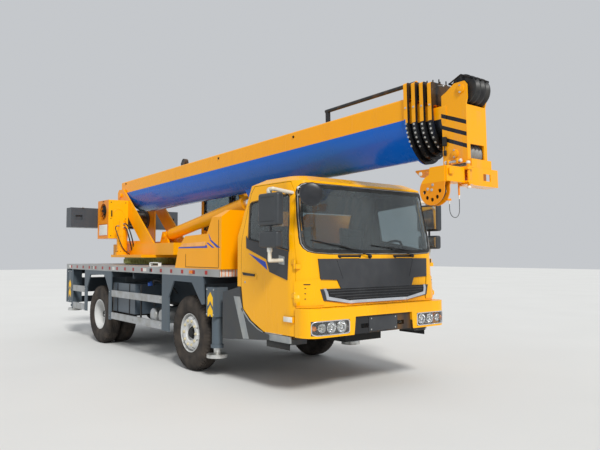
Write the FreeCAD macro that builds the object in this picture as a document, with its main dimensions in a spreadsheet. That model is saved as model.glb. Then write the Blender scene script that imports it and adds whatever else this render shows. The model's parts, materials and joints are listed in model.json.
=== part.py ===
import FreeCAD, Part
import math
import os
import re
import Sketcher
from FreeCAD import Placement, Rotation, Vector

# A two-axle truck crane: cab ahead of the front axle, five-section telescopic boom on a
# slewing superstructure, operator's cab on the left, four H-type outriggers.
# Millimetres. +X is forward, +Y is left, +Z is up. The origin is on the ground at the
# middle of the whole crane's length and width.

document = FreeCAD.newDocument("MobileCrane")
sizes = document.addObject("Spreadsheet::Sheet", "Sizes")

# Driving sizes: name, value, what it is
DRIVING = [
    ("running_gap", 0.3, "play between a shaft or slide and its seat"),
    ("safe_gap", 6, "room between pieces that move past each other"),
    ("skin", 20, "thickness of deck plates, skirts and thin guards"),
    ("half_width", 1200, "deck edge from the middle"),
    ("front_axle_x", 660, "front axle"),
    ("wheelbase", 3400, "front axle to rear axle"),
    ("wheel_radius", 515, "tyre, to the tread"),
    ("tyre_width", 250, "one tyre across its tread"),
    ("rim_radius", 288, "rim flange"),
    ("tyre_outer_y", 1170, "outer sidewall from the middle"),
    ("twin_gap", 40, "between the two tyres of a twin wheel"),
    ("kingpin_y", 860, "steering pivot from the middle"),
    ("kingpin_radius", 22, "steering pivot pin"),
    ("spindle_radius", 45, "stub that carries a wheel"),
    ("rail_outer_y", 430, "outside of a chassis rail"),
    ("rail_width", 80, "chassis rail across"),
    ("rail_bottom", 790, "underside of the chassis rails"),
    ("rail_top", 1030, "top of the chassis rails"),
    ("rail_front", 3040, "front end of the rails"),
    ("frame_rear", -4440, "rear end of the rails"),
    ("deck_rear", -4460, "rear edge of the deck"),
    ("deck_front", 1530, "front edge of the deck"),
    ("deck_top", 1405, "deck surface"),
    ("deck_edge", 100, "height of the deck's edge strip"),
    ("turret_radius", 620, "round pedestal under the slewing ring"),
    ("turret_top", 1420, "seat of the slewing ring"),
    ("slew_x", -2740, "slewing axis"),
    ("ring_radius", 640, "slewing ring, outside"),
    ("ring_bore", 520, "slewing ring, inside"),
    ("ring_height", 120, "slewing ring"),
    ("front_beam_right_x", 1300, "right front outrigger"),
    ("front_beam_left_x", 1510, "left front outrigger"),
    ("rear_beam_right_x", -4250, "right rear outrigger"),
    ("rear_beam_left_x", -4040, "left rear outrigger"),
    ("beam_width", 180, "outrigger beam"),
    ("beam_bottom", 870, "underside of an outrigger beam"),
    ("beam_height", 240, "outrigger beam"),
    ("beam_wall", 10, "outrigger beam's plate"),
    ("beam_inner_y", 880, "inner end of a beam that is drawn in"),
    ("housing_wall", 12, "outrigger housing's plate"),
    ("housing_end_y", 990, "outer end of an outrigger housing"),
    ("end_box_width", 200, "box at the outer end of a beam"),
    ("jack_y", 1090, "jack's axis"),
    ("jack_tube_radius", 70, "jack tube"),
    ("jack_rod_radius", 45, "jack rod"),
    ("foot_radius", 136, "jack foot"),
    ("foot_thick", 45, "jack foot"),
    ("front_foot_bottom", 260, "front feet above the ground when stowed"),
    ("rear_foot_bottom", 480, "rear feet above the ground when stowed"),
    ("cab_rear", 1830, "rear wall of the cab"),
    ("cab_half_width", 1150, "cab side"),
    ("cab_bottom", 700, "lower edge of the cab's skin"),
    ("cab_belt", 1640, "lower edge of the windscreen"),
    ("cab_knee", 1810, "height where the rear wall starts to lean"),
    ("cab_shoulder", 2430, "height where the roof starts"),
    ("cab_roof", 2500, "top of the roof"),
    ("cab_nose_low", 3180, "front skin at its lower edge"),
    ("cab_nose_belt", 3110, "front skin at the belt"),
    ("cab_nose_top", 2985, "front skin at the shoulder"),
    ("cab_wall", 45, "cab walls and doors"),
    ("cab_floor", 1120, "cab floor, top"),
    ("door_gap", 5, "gap round a cab door"),
    ("door_front", 3000, "front edge of a cab door"),
    ("door_rear", 1960, "rear edge of a cab door"),
    ("door_top", 2415, "top edge of a cab door"),
    ("door_hinge_y", 1140, "cab door's hinge axis"),
    ("hinge_radius", 13, "cab door's hinge barrel"),
    ("glass_thick", 6, "window glass"),
    ("glass_inset", 8, "windscreen in from the skin"),
    ("bumper_front", 3260, "front of the bumper"),
    ("bumper_rear", 3020, "rear edge of the bumper's sides"),
    ("bumper_top", 1012, "top of the bumper"),
    ("recess_half", 470, "half of the dark recess in the bumper"),
    ("recess_top", 900, "top of the dark recess in the bumper"),
    ("lamp_outer_y", 1090, "headlamp, outer edge"),
    ("lamp_inner_y", 560, "headlamp, inner edge"),
    ("lamp_bottom", 725, "headlamp, lower edge"),
    ("lamp_top", 880, "headlamp, upper edge"),
    ("mirror_y", 1335, "middle of the door mirrors"),
    ("mirror_thick", 96, "door mirrors, through the housing"),
    ("arm_radius", 22, "tube of the mirror arms"),
    ("hood_rear", 300, "rear of the box behind the cab"),
    ("hood_front", 1570, "front of the box behind the cab"),
    ("hood_inner_y", 250, "inner side of the box behind the cab"),
    ("rest_x", 1440, "boom rest"),
    ("base_top", 1800, "top of the superstructure's base"),
    ("cheek_outer_y", 350, "outside of the superstructure's side plates"),
    ("cheek_thick", 30, "superstructure's side plates"),
    ("pivot_x", -3790, "boom pivot"),
    ("pivot_z", 2800, "boom pivot"),
    ("pivot_radius", 45, "boom pivot pin"),
    ("winch_x", -4060, "winch axis"),
    ("winch_z", 2330, "winch axis"),
    ("winch_drum_radius", 130, "winch drum"),
    ("winch_flange_radius", 195, "winch drum's flanges"),
    ("weight_front", -4290, "front face of the counterweight"),
    ("weight_rear", -4668, "rear face of the counterweight"),
    ("weight_bottom", 2150, "underside of the counterweight"),
    ("weight_top", 2550, "top of the counterweight"),
    ("op_cab_rear", -1940, "operator's cab, rear"),
    ("op_cab_front", -340, "operator's cab, front"),
    ("op_cab_inner_y", 480, "operator's cab, side next to the boom"),
    ("op_cab_outer_y", 1195, "operator's cab, outer side"),
    ("op_cab_bottom", 1590, "operator's cab, underside"),
    ("op_cab_top", 2950, "operator's cab, roof"),
    ("op_cab_wall", 40, "operator's cab walls"),
    ("boom_tilt", 1.5, "boom's slope on its rest, in degrees"),
    ("boom_wall", 10, "boom plate"),
    ("boom_step", 35, "each boom section is this much narrower on each side"),
    ("boom_half", 310, "half width of the outer section"),
    ("boom_top", 275, "top of the outer section above its axis"),
    ("boom_split", 40, "height where the round belly starts"),
    ("boom_bottom", -360, "lowest line of the outer section"),
    ("boom_front", 7720, "front of the outer section's collar"),
    ("collar_thick", 50, "collar along the boom"),
    ("collar_pitch", 80, "from one collar to the next"),
    ("lift_foot_x", -2340, "lift cylinder's lower pin"),
    ("lift_foot_z", 1950, "lift cylinder's lower pin"),
    ("lift_eye_along", 4490, "lift cylinder's upper pin, along the boom"),
    ("lift_eye_down", -468, "lift cylinder's upper pin, under the boom's axis"),
    ("lift_pin_radius", 40, "lift cylinder's pins"),
    ("lift_tube_radius", 105, "lift cylinder's tube"),
    ("lift_rod_radius", 70, "lift cylinder's rod"),
    ("lift_tube_length", 2720, "lower pin to the tube's mouth"),
    ("head_rear", 8040, "rear edge of the boom head, along the boom"),
    ("head_front", 8345, "front of the boom head"),
    ("head_half", 165, "boom head, outside from the middle"),
    ("head_plate", 16, "boom head's plates"),
    ("sheave_radius", 155, "top sheaves"),
    ("sheave_width", 250, "top and lower sheaves together"),
    ("sheave_pin_radius", 30, "pins of the sheaves"),
    ("jib_front", 8400, "front of the jib box"),
    ("jib_bottom", -740, "underside of the jib box"),
    ("jib_height", 180, "jib box"),
    ("top_pin_along", 8420, "single top's swing pin, along the boom"),
    ("top_pin_y", 265, "single top's swing pin, from the middle"),
    ("top_pin_radius", 14, "single top's swing pin"),
    ("single_sheave_radius", 118, "single top's sheave"),
    ("cable_radius", 4, "limit switch cable"),
]
for row, (name, number, meaning) in enumerate(DRIVING, start=1):
    sizes.set(f"A{row}", name)
    sizes.set(f"B{row}", str(number))
    sizes.set(f"C{row}", meaning)
    sizes.setAlias(f"B{row}", name)
document.recompute()

PLANE_NORMALS = {"XY_Plane": 1, "XZ_Plane": -1, "YZ_Plane": 1}
parts = {}


def cells(expression):
    """Point each size's name in an expression at its cell."""
    return re.sub(r"\b([a-z]\w*)\b(?!\()", r"Sizes.\1", str(expression))


def value(expression):
    """What an expression comes to now."""
    return float(sizes.evalExpression(str(expression)))


def bind(thing, path, expression):
    thing.setExpression(path, cells(expression))


def publish(label, thing):
    """Name a finished sub-part. Its label is its file's name."""
    thing.Label = label
    parts[label] = thing
    return thing


def box(name, x, y, z):
    """A block from a low to a high place along each axis."""
    block = document.addObject("Part::Box", name)
    for path, (low, high) in zip(("Length", "Width", "Height"), (x, y, z)):
        bind(block, path, f"({high}) - ({low})")
    for axis, (low, high) in zip("xyz", (x, y, z)):
        bind(block, f"Placement.Base.{axis}", low)
    return block


TURNS = {
    "x": Rotation(Vector(0, 1, 0), 90),
    "y": Rotation(Vector(1, 0, 0), -90),
    "z": Rotation(),
}


def rod(name, axis, radius, start, length):
    """A round bar that starts at a place and runs along +X, +Y or +Z."""
    bar = document.addObject("Part::Cylinder", name)
    bar.Placement = Placement(Vector(), TURNS[axis])
    bind(bar, "Radius", radius)
    bind(bar, "Height", length)
    for letter, place in zip("xyz", start):
        bind(bar, f"Placement.Base.{letter}", place)
    return bar


def outline(body, name, plane, points, offset):
    """A closed sketch of straight lines, each corner dimensioned from the origin."""
    sketch = body.newObject("Sketcher::SketchObject", name)
    role = next(f for f in body.Origin.OriginFeatures if f.Role == plane)
    sketch.AttachmentSupport = (role, "")
    sketch.MapMode = "FlatFace"
    sketch.setExpression("AttachmentOffset.Base.z", cells(offset))
    numbers = [Vector(value(a), value(b), 0) for a, b in points]
    for here, there in zip(numbers, numbers[1:] + numbers[:1]):
        sketch.addGeometry(Part.LineSegment(here, there), False)
    for index in range(len(points)):
        following = (index + 1) % len(points)
        sketch.addConstraint(Sketcher.Constraint("Coincident", index, 2, following, 1))
    for index, pair in enumerate(points):
        for kind, number, expression in zip(("DistanceX", "DistanceY"), numbers[index], pair):
            at = sketch.addConstraint(Sketcher.Constraint(kind, -1, 1, index, 1, number))
            sketch.setExpression(f"Constraints[{at}]", cells(expression))
    return sketch


def plate(name, plane, points, low, high, holes=()):
    """An outline on a plane, padded from a low to a high place across that plane.

    Each hole is an outline of its own that goes right through."""
    body = document.addObject("PartDesign::Body", name)
    forward = PLANE_NORMALS[plane] > 0
    start, end = (low, high) if forward else (f"-({high})", f"-({low})")
    pad = body.newObject("PartDesign::Pad", name + "Pad")
    pad.Profile = outline(body, name + "Outline", plane, points, start)
    bind(pad, "Length", f"({high}) - ({low})")
    for number, hole in enumerate(holes):
        pocket = body.newObject("PartDesign::Pocket", f"{name}Pocket{number}")
        pocket.Profile = outline(body, f"{name}Hole{number}", plane, hole, end)
        bind(pocket, "Length", f"({high}) - ({low})")
    return body


def turned(name, points):
    """A profile of radius and place along Y, revolved about the Y axis."""
    body = document.addObject("PartDesign::Body", name)
    sketch = outline(body, name + "Profile", "XY_Plane", points, "0")
    turn = body.newObject("PartDesign::Revolution", name + "Turn")
    turn.Profile = sketch
    turn.ReferenceAxis = (sketch, ["V_Axis"])
    turn.Angle = 360
    return body


def joined(name, pieces):
    weld = document.addObject("Part::MultiFuse", name)
    weld.Shapes = pieces
    return weld


def less(name, base, tools):
    """A piece with others cut out of it."""
    cut = document.addObject("Part::Cut", name)
    cut.Base = base
    cut.Tool = tools[0] if len(tools) == 1 else joined(name + "Tools", tools)
    return cut


def common(name, first, second):
    part = document.addObject("Part::Common", name)
    part.Base = first
    part.Tool = second
    return part


def group(name, pieces):
    """Like pieces of one kind that share a node."""
    compound = document.addObject("Part::Compound", name)
    compound.Links = pieces
    return compound


def mirrored(name, source):
    """The same piece on the left side."""
    mirror = document.addObject("Part::Mirroring", name)
    mirror.Source = source
    mirror.Normal = Vector(0, 1, 0)
    return mirror


def shaped(name, shape):
    feature = document.addObject("Part::Feature", name)
    feature.Shape = shape
    return feature


def put(thing, x, y, z):
    """Bind a finished piece's place to the sheet."""
    for letter, place in zip("xyz", (x, y, z)):
        bind(thing, f"Placement.Base.{letter}", place)
    return thing


def on_boom(thing):
    """Turn and move a piece from the boom's own axes, X along it from its pivot, to the crane's."""
    thing.Placement = Placement(Vector(), Rotation(Vector(0, -1, 0), value("boom_tilt")))
    bind(thing, "Placement.Rotation.Angle", "boom_tilt")
    return put(thing, "pivot_x", "0", "pivot_z")


def both_sides(low, high):
    """The same stretch of Y on the right and on the left."""
    return [("Right", f"-({high})", f"-({low})"), ("Left", low, high)]


REAR_AXLE = "front_axle_x - wheelbase"


# Chassis frame: rails, cross members, turret, deck ribs, outrigger housings, rear bar.
# Each member is a solid of its own that touches what it is welded to.
def chassis_frame():
    inner_y = "rail_outer_y - rail_width"
    grow = "beam_width / 2 + safe_gap"
    housings = []
    envelopes = []
    for end, right, left in (
            ("Front", "front_beam_right_x", "front_beam_left_x"), ("Rear", "rear_beam_right_x", "rear_beam_left_x")):
        envelope = box(
            end + "HousingBox", (f"{right} - ({grow}) - housing_wall", f"{left} + {grow} + housing_wall"),
            ("-housing_end_y", "housing_end_y"),
            ("beam_bottom - running_gap - housing_wall", "beam_bottom + beam_height + safe_gap + housing_wall"))
        tunnels = [box(
            f"{end}{side}Tunnel", (f"{place} - ({grow})", f"{place} + {grow}"),
            ("-housing_end_y - 1", "housing_end_y + 1"),
            ("beam_bottom - running_gap", "beam_bottom + beam_height + safe_gap"))
            for side, place in (("Right", right), ("Left", left))]
        envelopes.append(envelope)
        housings.append(less(end + "Housing", envelope, tunnels))
    turret = rod("Turret", "z", "turret_radius", ("slew_x", "0", "rail_top"), "turret_top - rail_top")
    members = housings + [turret]
    for side, low, high in both_sides(inner_y, "rail_outer_y"):
        rail = box("RailBar" + side, ("frame_rear", "rail_front"), (low, high), ("rail_bottom", "rail_top"))
        members.append(less("Rail" + side, rail, envelopes))
        upper = box("SubframeBar" + side, ("frame_rear", "deck_front - skin"), (low, high),
                    ("rail_top", "deck_top - skin"))
        members.append(less("Subframe" + side, upper, envelopes + [turret]))
        members.append(box(
            "BarHanger" + side, ("frame_rear - skin", "frame_rear"), (low, high), ("660", "rail_top")))
    places = ("frame_rear + 15", "slew_x - turret_radius - 20", "slew_x + turret_radius + 20", "-1200", "-50", "1110")
    for number, place in enumerate(places):
        for part, low, high in (("Right", "-(half_width - skin)", "-rail_outer_y"),
                                ("Middle", f"-({inner_y})", inner_y), ("Left", "rail_outer_y", "half_width - skin")):
            members.append(box(
                f"Rib{part}{number}", (f"{place} - 15", f"{place} + 15"), (low, high),
                ("deck_top - deck_edge - 100", "deck_top - skin")))
    for number, place in enumerate(("-1900", "-500", "2000", "3000")):
        members.append(box(
            f"CrossMember{number}", (f"{place} - 35", f"{place} + 35"), (f"-({inner_y})", inner_y),
            ("rail_top - 160", "rail_top - 20")))
    members.append(box(
        "TurretPlate", ("slew_x - turret_radius + 40", "slew_x + turret_radius - 40"),
        (f"-({inner_y})", inner_y), ("rail_top - 60", "rail_top")))
    members.append(box(
        "RearBar", ("frame_rear - 80", "frame_rear - skin"), ("-1120", "1120"), ("620", "740")))
    return group("ChassisFrame", members)


publish("chassis_frame", chassis_frame())


# Deck: one plate with an edge strip all round and a round hole for the turret
def deck():
    sheet = box("DeckPlate", ("deck_rear", "deck_front"), ("-half_width", "half_width"),
                ("deck_top - deck_edge", "deck_top"))
    hollow = box("DeckHollow", ("deck_rear + skin", "deck_front - skin"),
                 ("-(half_width - skin)", "half_width - skin"), ("deck_top - deck_edge - 1", "deck_top - skin"))
    hole = rod("DeckHole", "z", "turret_radius + safe_gap", ("slew_x", "0", "deck_top - deck_edge - 1"),
               "deck_edge + 2")
    return less("Deck", sheet, [hollow, hole])


publish("deck", deck())


# Skirts: grey side panels with the wheel arches, 20 mm plate under the deck's edge
SKIRT_TOP = "deck_top - deck_edge"
REAR_SKIRT = [
    ("-3400", SKIRT_TOP), ("-3400", "540"), ("-3275", "540"), ("-3275", "970"), ("-3100", "1225"),
    ("-2400", "1235"), ("-2190", "980"), ("-2190", "470"), ("-2080", "470"), ("-2080", SKIRT_TOP)]
FRONT_SKIRT = [
    ("-110", SKIRT_TOP), ("-110", "480"), ("130", "480"), ("110", "980"), ("270", "1220"), ("800", "1215"),
    ("1080", "930"), ("1140", "940"), ("1100", SKIRT_TOP)]


def side_skirts():
    panels = []
    for side, low, high in both_sides("half_width - skin", "half_width"):
        post = f"rear_beam_{side.lower()}_x + end_box_width / 2 + 25"
        tail = [("deck_rear", SKIRT_TOP), ("deck_rear", "640"), ("deck_rear + 50", "640"),
                ("deck_rear + 70", SKIRT_TOP)]
        strap = [(post, SKIRT_TOP), (post, "530"), (post + " + 40", "530"), (post + " + 40", SKIRT_TOP)]
        for name, points in (("Tail", tail), ("Strap", strap), ("RearSkirt", REAR_SKIRT),
                             ("FrontSkirt", FRONT_SKIRT)):
            panels.append(plate(name + side, "XZ_Plane", points, low, high))
    return group("SideSkirts", panels)


publish("side_skirts", side_skirts())


# Guard rails: aluminium sections between the wheels and behind the rear wheels
def guard_rails():
    rails = []
    for side, low, high in both_sides("half_width - 35", "half_width - 5"):
        strap_end = f"rear_beam_{side.lower()}_x + end_box_width / 2 + 65"
        # place along X, low edge, high edge
        for number, (start, end, bottom, top) in enumerate([
                ("-2080", "-110", "490", "600"), ("-2080", "-110", "870", "980"),
                (strap_end, "-3400", "545", "660"), (strap_end, "-3400", "880", "995")]):
            rails.append(box(f"GuardRail{side}{number}", (start, end), (low, high), (bottom, top)))
    return group("GuardRails", rails)


publish("guard_rails", guard_rails())


# Axles with their leaf springs, which reach the rails' undersides
SPRING_HALF = 640


def leaf_spring(name, axle, side_low, side_high, seat):
    points = [
        (f"{axle} - {SPRING_HALF}", "rail_bottom"), (f"{axle} - {SPRING_HALF}", "rail_bottom - 70"),
        (f"{axle} - 200", seat), (f"{axle} + 200", seat),
        (f"{axle} + {SPRING_HALF}", "rail_bottom - 70"), (f"{axle} + {SPRING_HALF}", "rail_bottom"),
        (f"{axle} + {SPRING_HALF} - 70", "rail_bottom"), (f"{axle} + 200", f"{seat} + 70"),
        (f"{axle} - 200", f"{seat} + 70"), (f"{axle} - {SPRING_HALF} + 70", "rail_bottom")]
    return plate(name, "XZ_Plane", points, side_low, side_high)


def axles():
    front = []
    rear = []
    bores = []
    for side, low, high in both_sides("rail_outer_y - rail_width", "rail_outer_y"):
        front.append(leaf_spring("FrontSpring" + side, "front_axle_x", low, high, "wheel_radius + 60"))
        front.append(box("FrontSeat" + side, ("front_axle_x - 60", "front_axle_x + 60"), (low, high),
                         ("wheel_radius - 20", "wheel_radius + 61")))
        rear.append(leaf_spring("RearSpring" + side, REAR_AXLE, low, high, "wheel_radius + 90"))
        rear.append(box("RearSeat" + side, (f"{REAR_AXLE} - 70", f"{REAR_AXLE} + 70"), (low, high),
                        ("wheel_radius", "wheel_radius + 91")))
    for side, sign in (("Right", "-"), ("Left", "")):
        front.append(rod("KingpinBoss" + side, "z", "55",
                         ("front_axle_x", f"{sign}kingpin_y", "wheel_radius - 60"), "120"))
        bores.append(rod("KingpinBore" + side, "z", "kingpin_radius + running_gap",
                         ("front_axle_x", f"{sign}kingpin_y", "wheel_radius - 70"), "140"))
    front.append(box("FrontBeam", ("front_axle_x - 45", "front_axle_x + 45"), ("-(kingpin_y - 30)", "kingpin_y - 30"),
                     ("wheel_radius - 55", "wheel_radius + 35")))
    rear.append(rod("AxleTube", "y", "75", (REAR_AXLE, "-620", "wheel_radius"), "1240"))
    rear.append(rod("AxleSpindle", "y", "spindle_radius", (REAR_AXLE, "-1060", "wheel_radius"), "2120"))
    rear.append(rod("Differential", "x", "190", (f"{REAR_AXLE} - 170", "0", "wheel_radius"), "340"))
    return group("Axles", [less("FrontAxle", joined("FrontAxleWeld", front), bores),
                           joined("RearAxle", rear)])


publish("axles", axles())


# Driveline: the engine as one plain block between the rails, gearbox and propeller shaft
def driveline():
    engine = joined("EngineAndFeet", [
        box("Engine", ("2080", "2900"), ("-300", "300"), ("560", "1060")),
        box("EngineFeet", ("2300", "2360"), ("-(rail_outer_y - rail_width)", "rail_outer_y - rail_width"),
            ("rail_bottom + 20", "rail_top - 40")),
        box("Gearbox", ("1640", "2081"), ("-170", "170"), ("580", "840")),
        box("GearboxNose", ("1460", "1641"), ("-95", "95"), ("600", "790"))])
    start = Vector(1480, 0, 695)
    end = Vector(value(REAR_AXLE) + 168, 0, value("wheel_radius"))
    bar = Part.makeCylinder(45, (end - start).Length, start, end - start)
    behind = Part.makeBox(200, 200, 200, Vector(value(REAR_AXLE) + 170 - 200, -100, end.z - 100))
    shaft = shaped("PropellerShaft", bar.cut(behind))
    return joined("Driveline", [engine, shaft])


publish("driveline", driveline())


# Side tanks: fuel tank on the right, oil tank on the left, air tanks ahead of the fuel tank
def side_tanks():
    tanks = []
    for side, low, high in both_sides("650", "half_width - 70"):
        near_low, near_high = ("-651", "-rail_outer_y") if side == "Right" else ("rail_outer_y", "651")
        tanks.append(joined("Tank" + side, [
            box("TankBox" + side, (f"{REAR_AXLE} + 590", "front_axle_x - 1890"), (low, high), ("620", "1110")),
            box("TankStrapRear" + side, (f"{REAR_AXLE} + 690", f"{REAR_AXLE} + 750"), (near_low, near_high),
                ("830", "1000")),
            box("TankStrapFront" + side, ("front_axle_x - 2060", "front_axle_x - 2000"), (near_low, near_high),
                ("830", "1000"))]))
    for number, place in enumerate(("front_axle_x - 1200", "front_axle_x - 910")):
        tanks.append(joined(f"AirTank{number}", [
            rod(f"AirDrum{number}", "y", "110", (place, "-1120", "665"), "780"),
            box(f"AirHanger{number}", (f"{place} - 30", f"{place} + 30"),
                ("-rail_outer_y", "-(rail_outer_y - rail_width)"), ("720", "rail_bottom"))]))
    return group("SideTanks", tanks)


publish("side_tanks", side_tanks())


# Boxes on the deck behind the cab, with the boom's rest between them
HOOD_SIDE = [
    ("hood_rear", "deck_top"), ("hood_rear + 105", "1690"), ("hood_rear + 300", "1850"),
    ("hood_rear + 900", "1870"), ("hood_rear + 1030", "2075"), ("hood_rear + 1180", "2170"),
    ("hood_front", "2170"), ("hood_front", "deck_top")]
HOOD_FRONT = [
    ("-half_width", "deck_top"), ("-half_width", "2080"), ("-(half_width - 130)", "2171"),
    ("-hood_inner_y", "2171"), ("-hood_inner_y", "deck_top")]


def hood_boxes():
    side = plate("HoodSide", "XZ_Plane", HOOD_SIDE, "-half_width", "-hood_inner_y")
    front = plate("HoodFront", "YZ_Plane", HOOD_FRONT, "hood_rear", "hood_front")
    inside_y = ("-(half_width - skin)", "-(hood_inner_y + skin)")
    # rear end, low and high face of each step of the hollow
    steps = [("hood_rear + 130", "deck_top - 1", "1670"), ("hood_rear + 300", "1669", "1830"),
             ("hood_rear + 1040", "1829", "2050")]
    hollow = joined("HoodHollow", [
        box(f"HoodStep{number}", (rear, "hood_front - skin"), inside_y, (low, high))
        for number, (rear, low, high) in enumerate(steps)])
    right = less("HoodRight", common("HoodBlock", side, front), [hollow])
    rest_top = "pivot_z + (rest_x - 60 - pivot_x) * tan(boom_tilt) + boom_bottom / cos(boom_tilt) - safe_gap"
    rest = joined("BoomRest", [
        box("RestPost", ("rest_x - 50", "rest_x + 50"), ("-90", "90"), ("deck_top", f"{rest_top} - 30")),
        box("RestPad", ("rest_x - 60", "rest_x + 60"), ("-150", "150"), (f"{rest_top} - 31", rest_top)),
        box("RestFoot", ("rest_x - 90", "rest_x + 70"), ("-180", "180"), ("deck_top", "deck_top + 20"))])
    return group("HoodBoxes", [right, mirrored("HoodLeft", right), rest])


publish("hood_boxes", hood_boxes())


# Cab skin: rounded sections, one above the other, with straight sides between them.
# Columns: height, rear, front, half width, radius of the front corners.
def cab_sections():
    wide = value("cab_half_width")
    belt = value("cab_belt")
    knee = value("cab_knee")
    shoulder = value("cab_shoulder")
    nose_belt = value("cab_nose_belt")
    nose_top = value("cab_nose_top")
    lean = (knee - belt) / (shoulder - belt)
    return [
        (value("cab_bottom") - 40, value("cab_rear"), value("cab_nose_low"), wide, 260),
        (belt, value("cab_rear"), nose_belt, wide, 260),
        (knee, value("cab_rear"), nose_belt + (nose_top - nose_belt) * lean, wide, 255),
        (shoulder, value("cab_rear") + 200, nose_top, wide - 75, 230),
        (value("cab_roof"), value("cab_rear") + 330, nose_top - 150, wide - 200, 200),
    ]


def rounded_section(height, rear, front, half, corner):
    """A rectangle seen from above, with large front corners and small rear ones."""
    tight = 60
    edges = []
    turn = math.sqrt(0.5)

    def line(x1, y1, x2, y2):
        edges.append(Part.makeLine(Vector(x1, y1, height), Vector(x2, y2, height)))

    def arc(cx, cy, radius, a, b):
        """A quarter circle about a centre, from direction a to direction b."""
        middle = (a[0] + b[0]) * turn, (a[1] + b[1]) * turn
        edges.append(Part.Arc(*[
            Vector(cx + radius * u, cy + radius * v, height) for u, v in (a, middle, b)]).toShape())

    line(rear + tight, -half, front - corner, -half)
    arc(front - corner, -half + corner, corner, (0, -1), (1, 0))
    line(front, -half + corner, front, half - corner)
    arc(front - corner, half - corner, corner, (1, 0), (0, 1))
    line(front - corner, half, rear + tight, half)
    arc(rear + tight, half - tight, tight, (0, 1), (-1, 0))
    line(rear, half - tight, rear, -half + tight)
    arc(rear + tight, -half + tight, tight, (-1, 0), (0, -1))
    return Part.Wire(edges)


def cab_hull(grow, drop=0):
    """The cab's outer form, larger by grow on every side and lower at the roof by drop."""
    wires = []
    for height, rear, front, half, corner in cab_sections():
        wires.append(rounded_section(height - drop, rear - grow, front + grow, half + grow, corner + grow))
    return Part.makeLoft(wires, True, True)


def prism(points, plane, low, high):
    """A straight-sided block whose outline is given on the XZ or the YZ plane."""
    if plane == "XZ":
        corners = [Vector(a, low, b) for a, b in points]
        along = Vector(0, high - low, 0)
    else:
        corners = [Vector(low, a, b) for a, b in points]
        along = Vector(high - low, 0, 0)
    return Part.Face(Part.makePolygon(corners + corners[:1])).extrude(along)


def block(x, y, z):
    return Part.makeBox(x[1] - x[0], y[1] - y[0], z[1] - z[0], Vector(x[0], y[0], z[0]))


# Front edge of a cab door, which leans back: behind its lowest corner, height
DOOR_EDGE = [(0, 1030), (8, 1306), (10, 1560), (73, 2031), (97, 2283)]


def door_outline(gap):
    """A cab door seen from the side, larger by gap all round."""
    front = value("door_front") + gap
    rear = value("door_rear") - gap
    top = value("door_top") + gap
    low = value("cab_bottom") + 5 - gap
    edge = [(front - back, height) for back, height in DOOR_EDGE]
    return [(front, low)] + edge + [
        (front - 165, top), (rear + 180, top), (rear + 120, 2330 + gap), (rear, 1700), (rear, 1215),
        (2005 - gap, 940 - gap), (2180 - gap, 812 - gap), (2440 - gap, low)]


WINDSCREEN = [(-1050, 1760), (-1045, 2031), (-1012, 2330), (-960, 2375), (960, 2375), (1012, 2330),
              (1045, 2031), (1050, 1760), (1010, 1655), (920, 1625), (-920, 1625), (-1010, 1655)]
DOOR_WINDOW = [(2115, 1775), (2075, 2180), (2100, 2225), (2800, 2275), (2835, 2250), (2882, 1938), (2905, 1635)]
REAR_WINDOW = [(-700, 1750), (-700, 2150), (700, 2150), (700, 1750)]


def cab_shell():
    wall = value("cab_wall")
    floor = value("cab_floor")
    wide = value("cab_half_width") + 10
    inner = cab_hull(-wall, wall)
    cabin = inner.common(block((1500, 3400), (-wide, wide), (floor, 2600)))
    for low, high in ((-wide, -735), (735, wide)):
        cabin = cabin.cut(block((1500, 2020), (low, high), (500, 1250)))
    below = inner.common(block((1500, 3400), (-wide, wide), (500, floor - wall)))
    shell = cab_hull(0).cut(cabin).cut(below)
    shell = shell.cut(block((1700, 2000), (-wide + 40, wide - 40), (500, floor - wall)))
    for low, high in ((-wide, -780), (780, wide)):
        shell = shell.cut(prism([(1700, 500), (1700, 1205), (1960, 1205), (2010, 950), (2190, 825), (2460, 730),
                                 (2930, 730), (2930, 500)], "XZ", low, high))
    shell = shell.cut(block((1700, 3400), (-wide, wide), (500, value("cab_bottom"))))
    shell = shell.cut(block((value("door_front") - 20, 3400), (-wide, wide), (500, value("bumper_top") + 5)))
    shell = shell.cut(prism(WINDSCREEN, "YZ", 2860, 3400))
    shell = shell.cut(prism(REAR_WINDOW, "YZ", 1700, 2150))
    doorway = door_outline(value("door_gap"))
    for low, high in ((-wide, -wide + 200), (wide - 200, wide)):
        shell = shell.cut(prism(doorway, "XZ", low, high))
    for side in (-1, 1):
        for height in HINGE_HEIGHTS:
            shell = shell.cut(hinge_room(side, height))
            shell = shell.fuse(hinge_half(side, height - 50, height, 1))
    feet = [block((2900, 2960), (low, low + 80), (value("rail_top"), floor - wall + 5))
            for low in (-430, 350)]
    for foot in feet:
        shell = shell.fuse(foot)
    for low in (-430, 350):
        shell = shell.fuse(block((2100, 2180), (low, low + 80), (value("rail_top"), floor - wall + 5)))
    return shell.removeSplitter()


HINGE_HEIGHTS = (1120, 1490)


def hinge_x():
    return value("door_front") + 3


def hinge_half(side, low, high, forward):
    """A hinge barrel with its strap, forward to the pillar or back to the door."""
    x = hinge_x()
    y = value("door_hinge_y")
    barrel = Part.makeCylinder(value("hinge_radius"), high - low, Vector(x, side * y, low))
    deep = sorted((side * (y - 55), side * (y + 6)))
    if forward > 0:
        return barrel.fuse(block((x, x + 40), deep, (low, high)))
    shallow = sorted((side * (y - 13), side * (y + 6)))
    return barrel.fuse([block((x - 50, x - 11), deep, (low, high)), block((x - 12, x), shallow, (low, high))])


def hinge_room(side, low):
    """Clear space round the half of a hinge barrel that starts at a height."""
    place = Vector(hinge_x(), side * value("door_hinge_y"), low - value("safe_gap"))
    return Part.makeCylinder(value("hinge_radius") + value("safe_gap"), 50 + 2 * value("safe_gap"), place)


publish("cab_shell", shaped("CabShell", cab_shell()))


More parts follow.
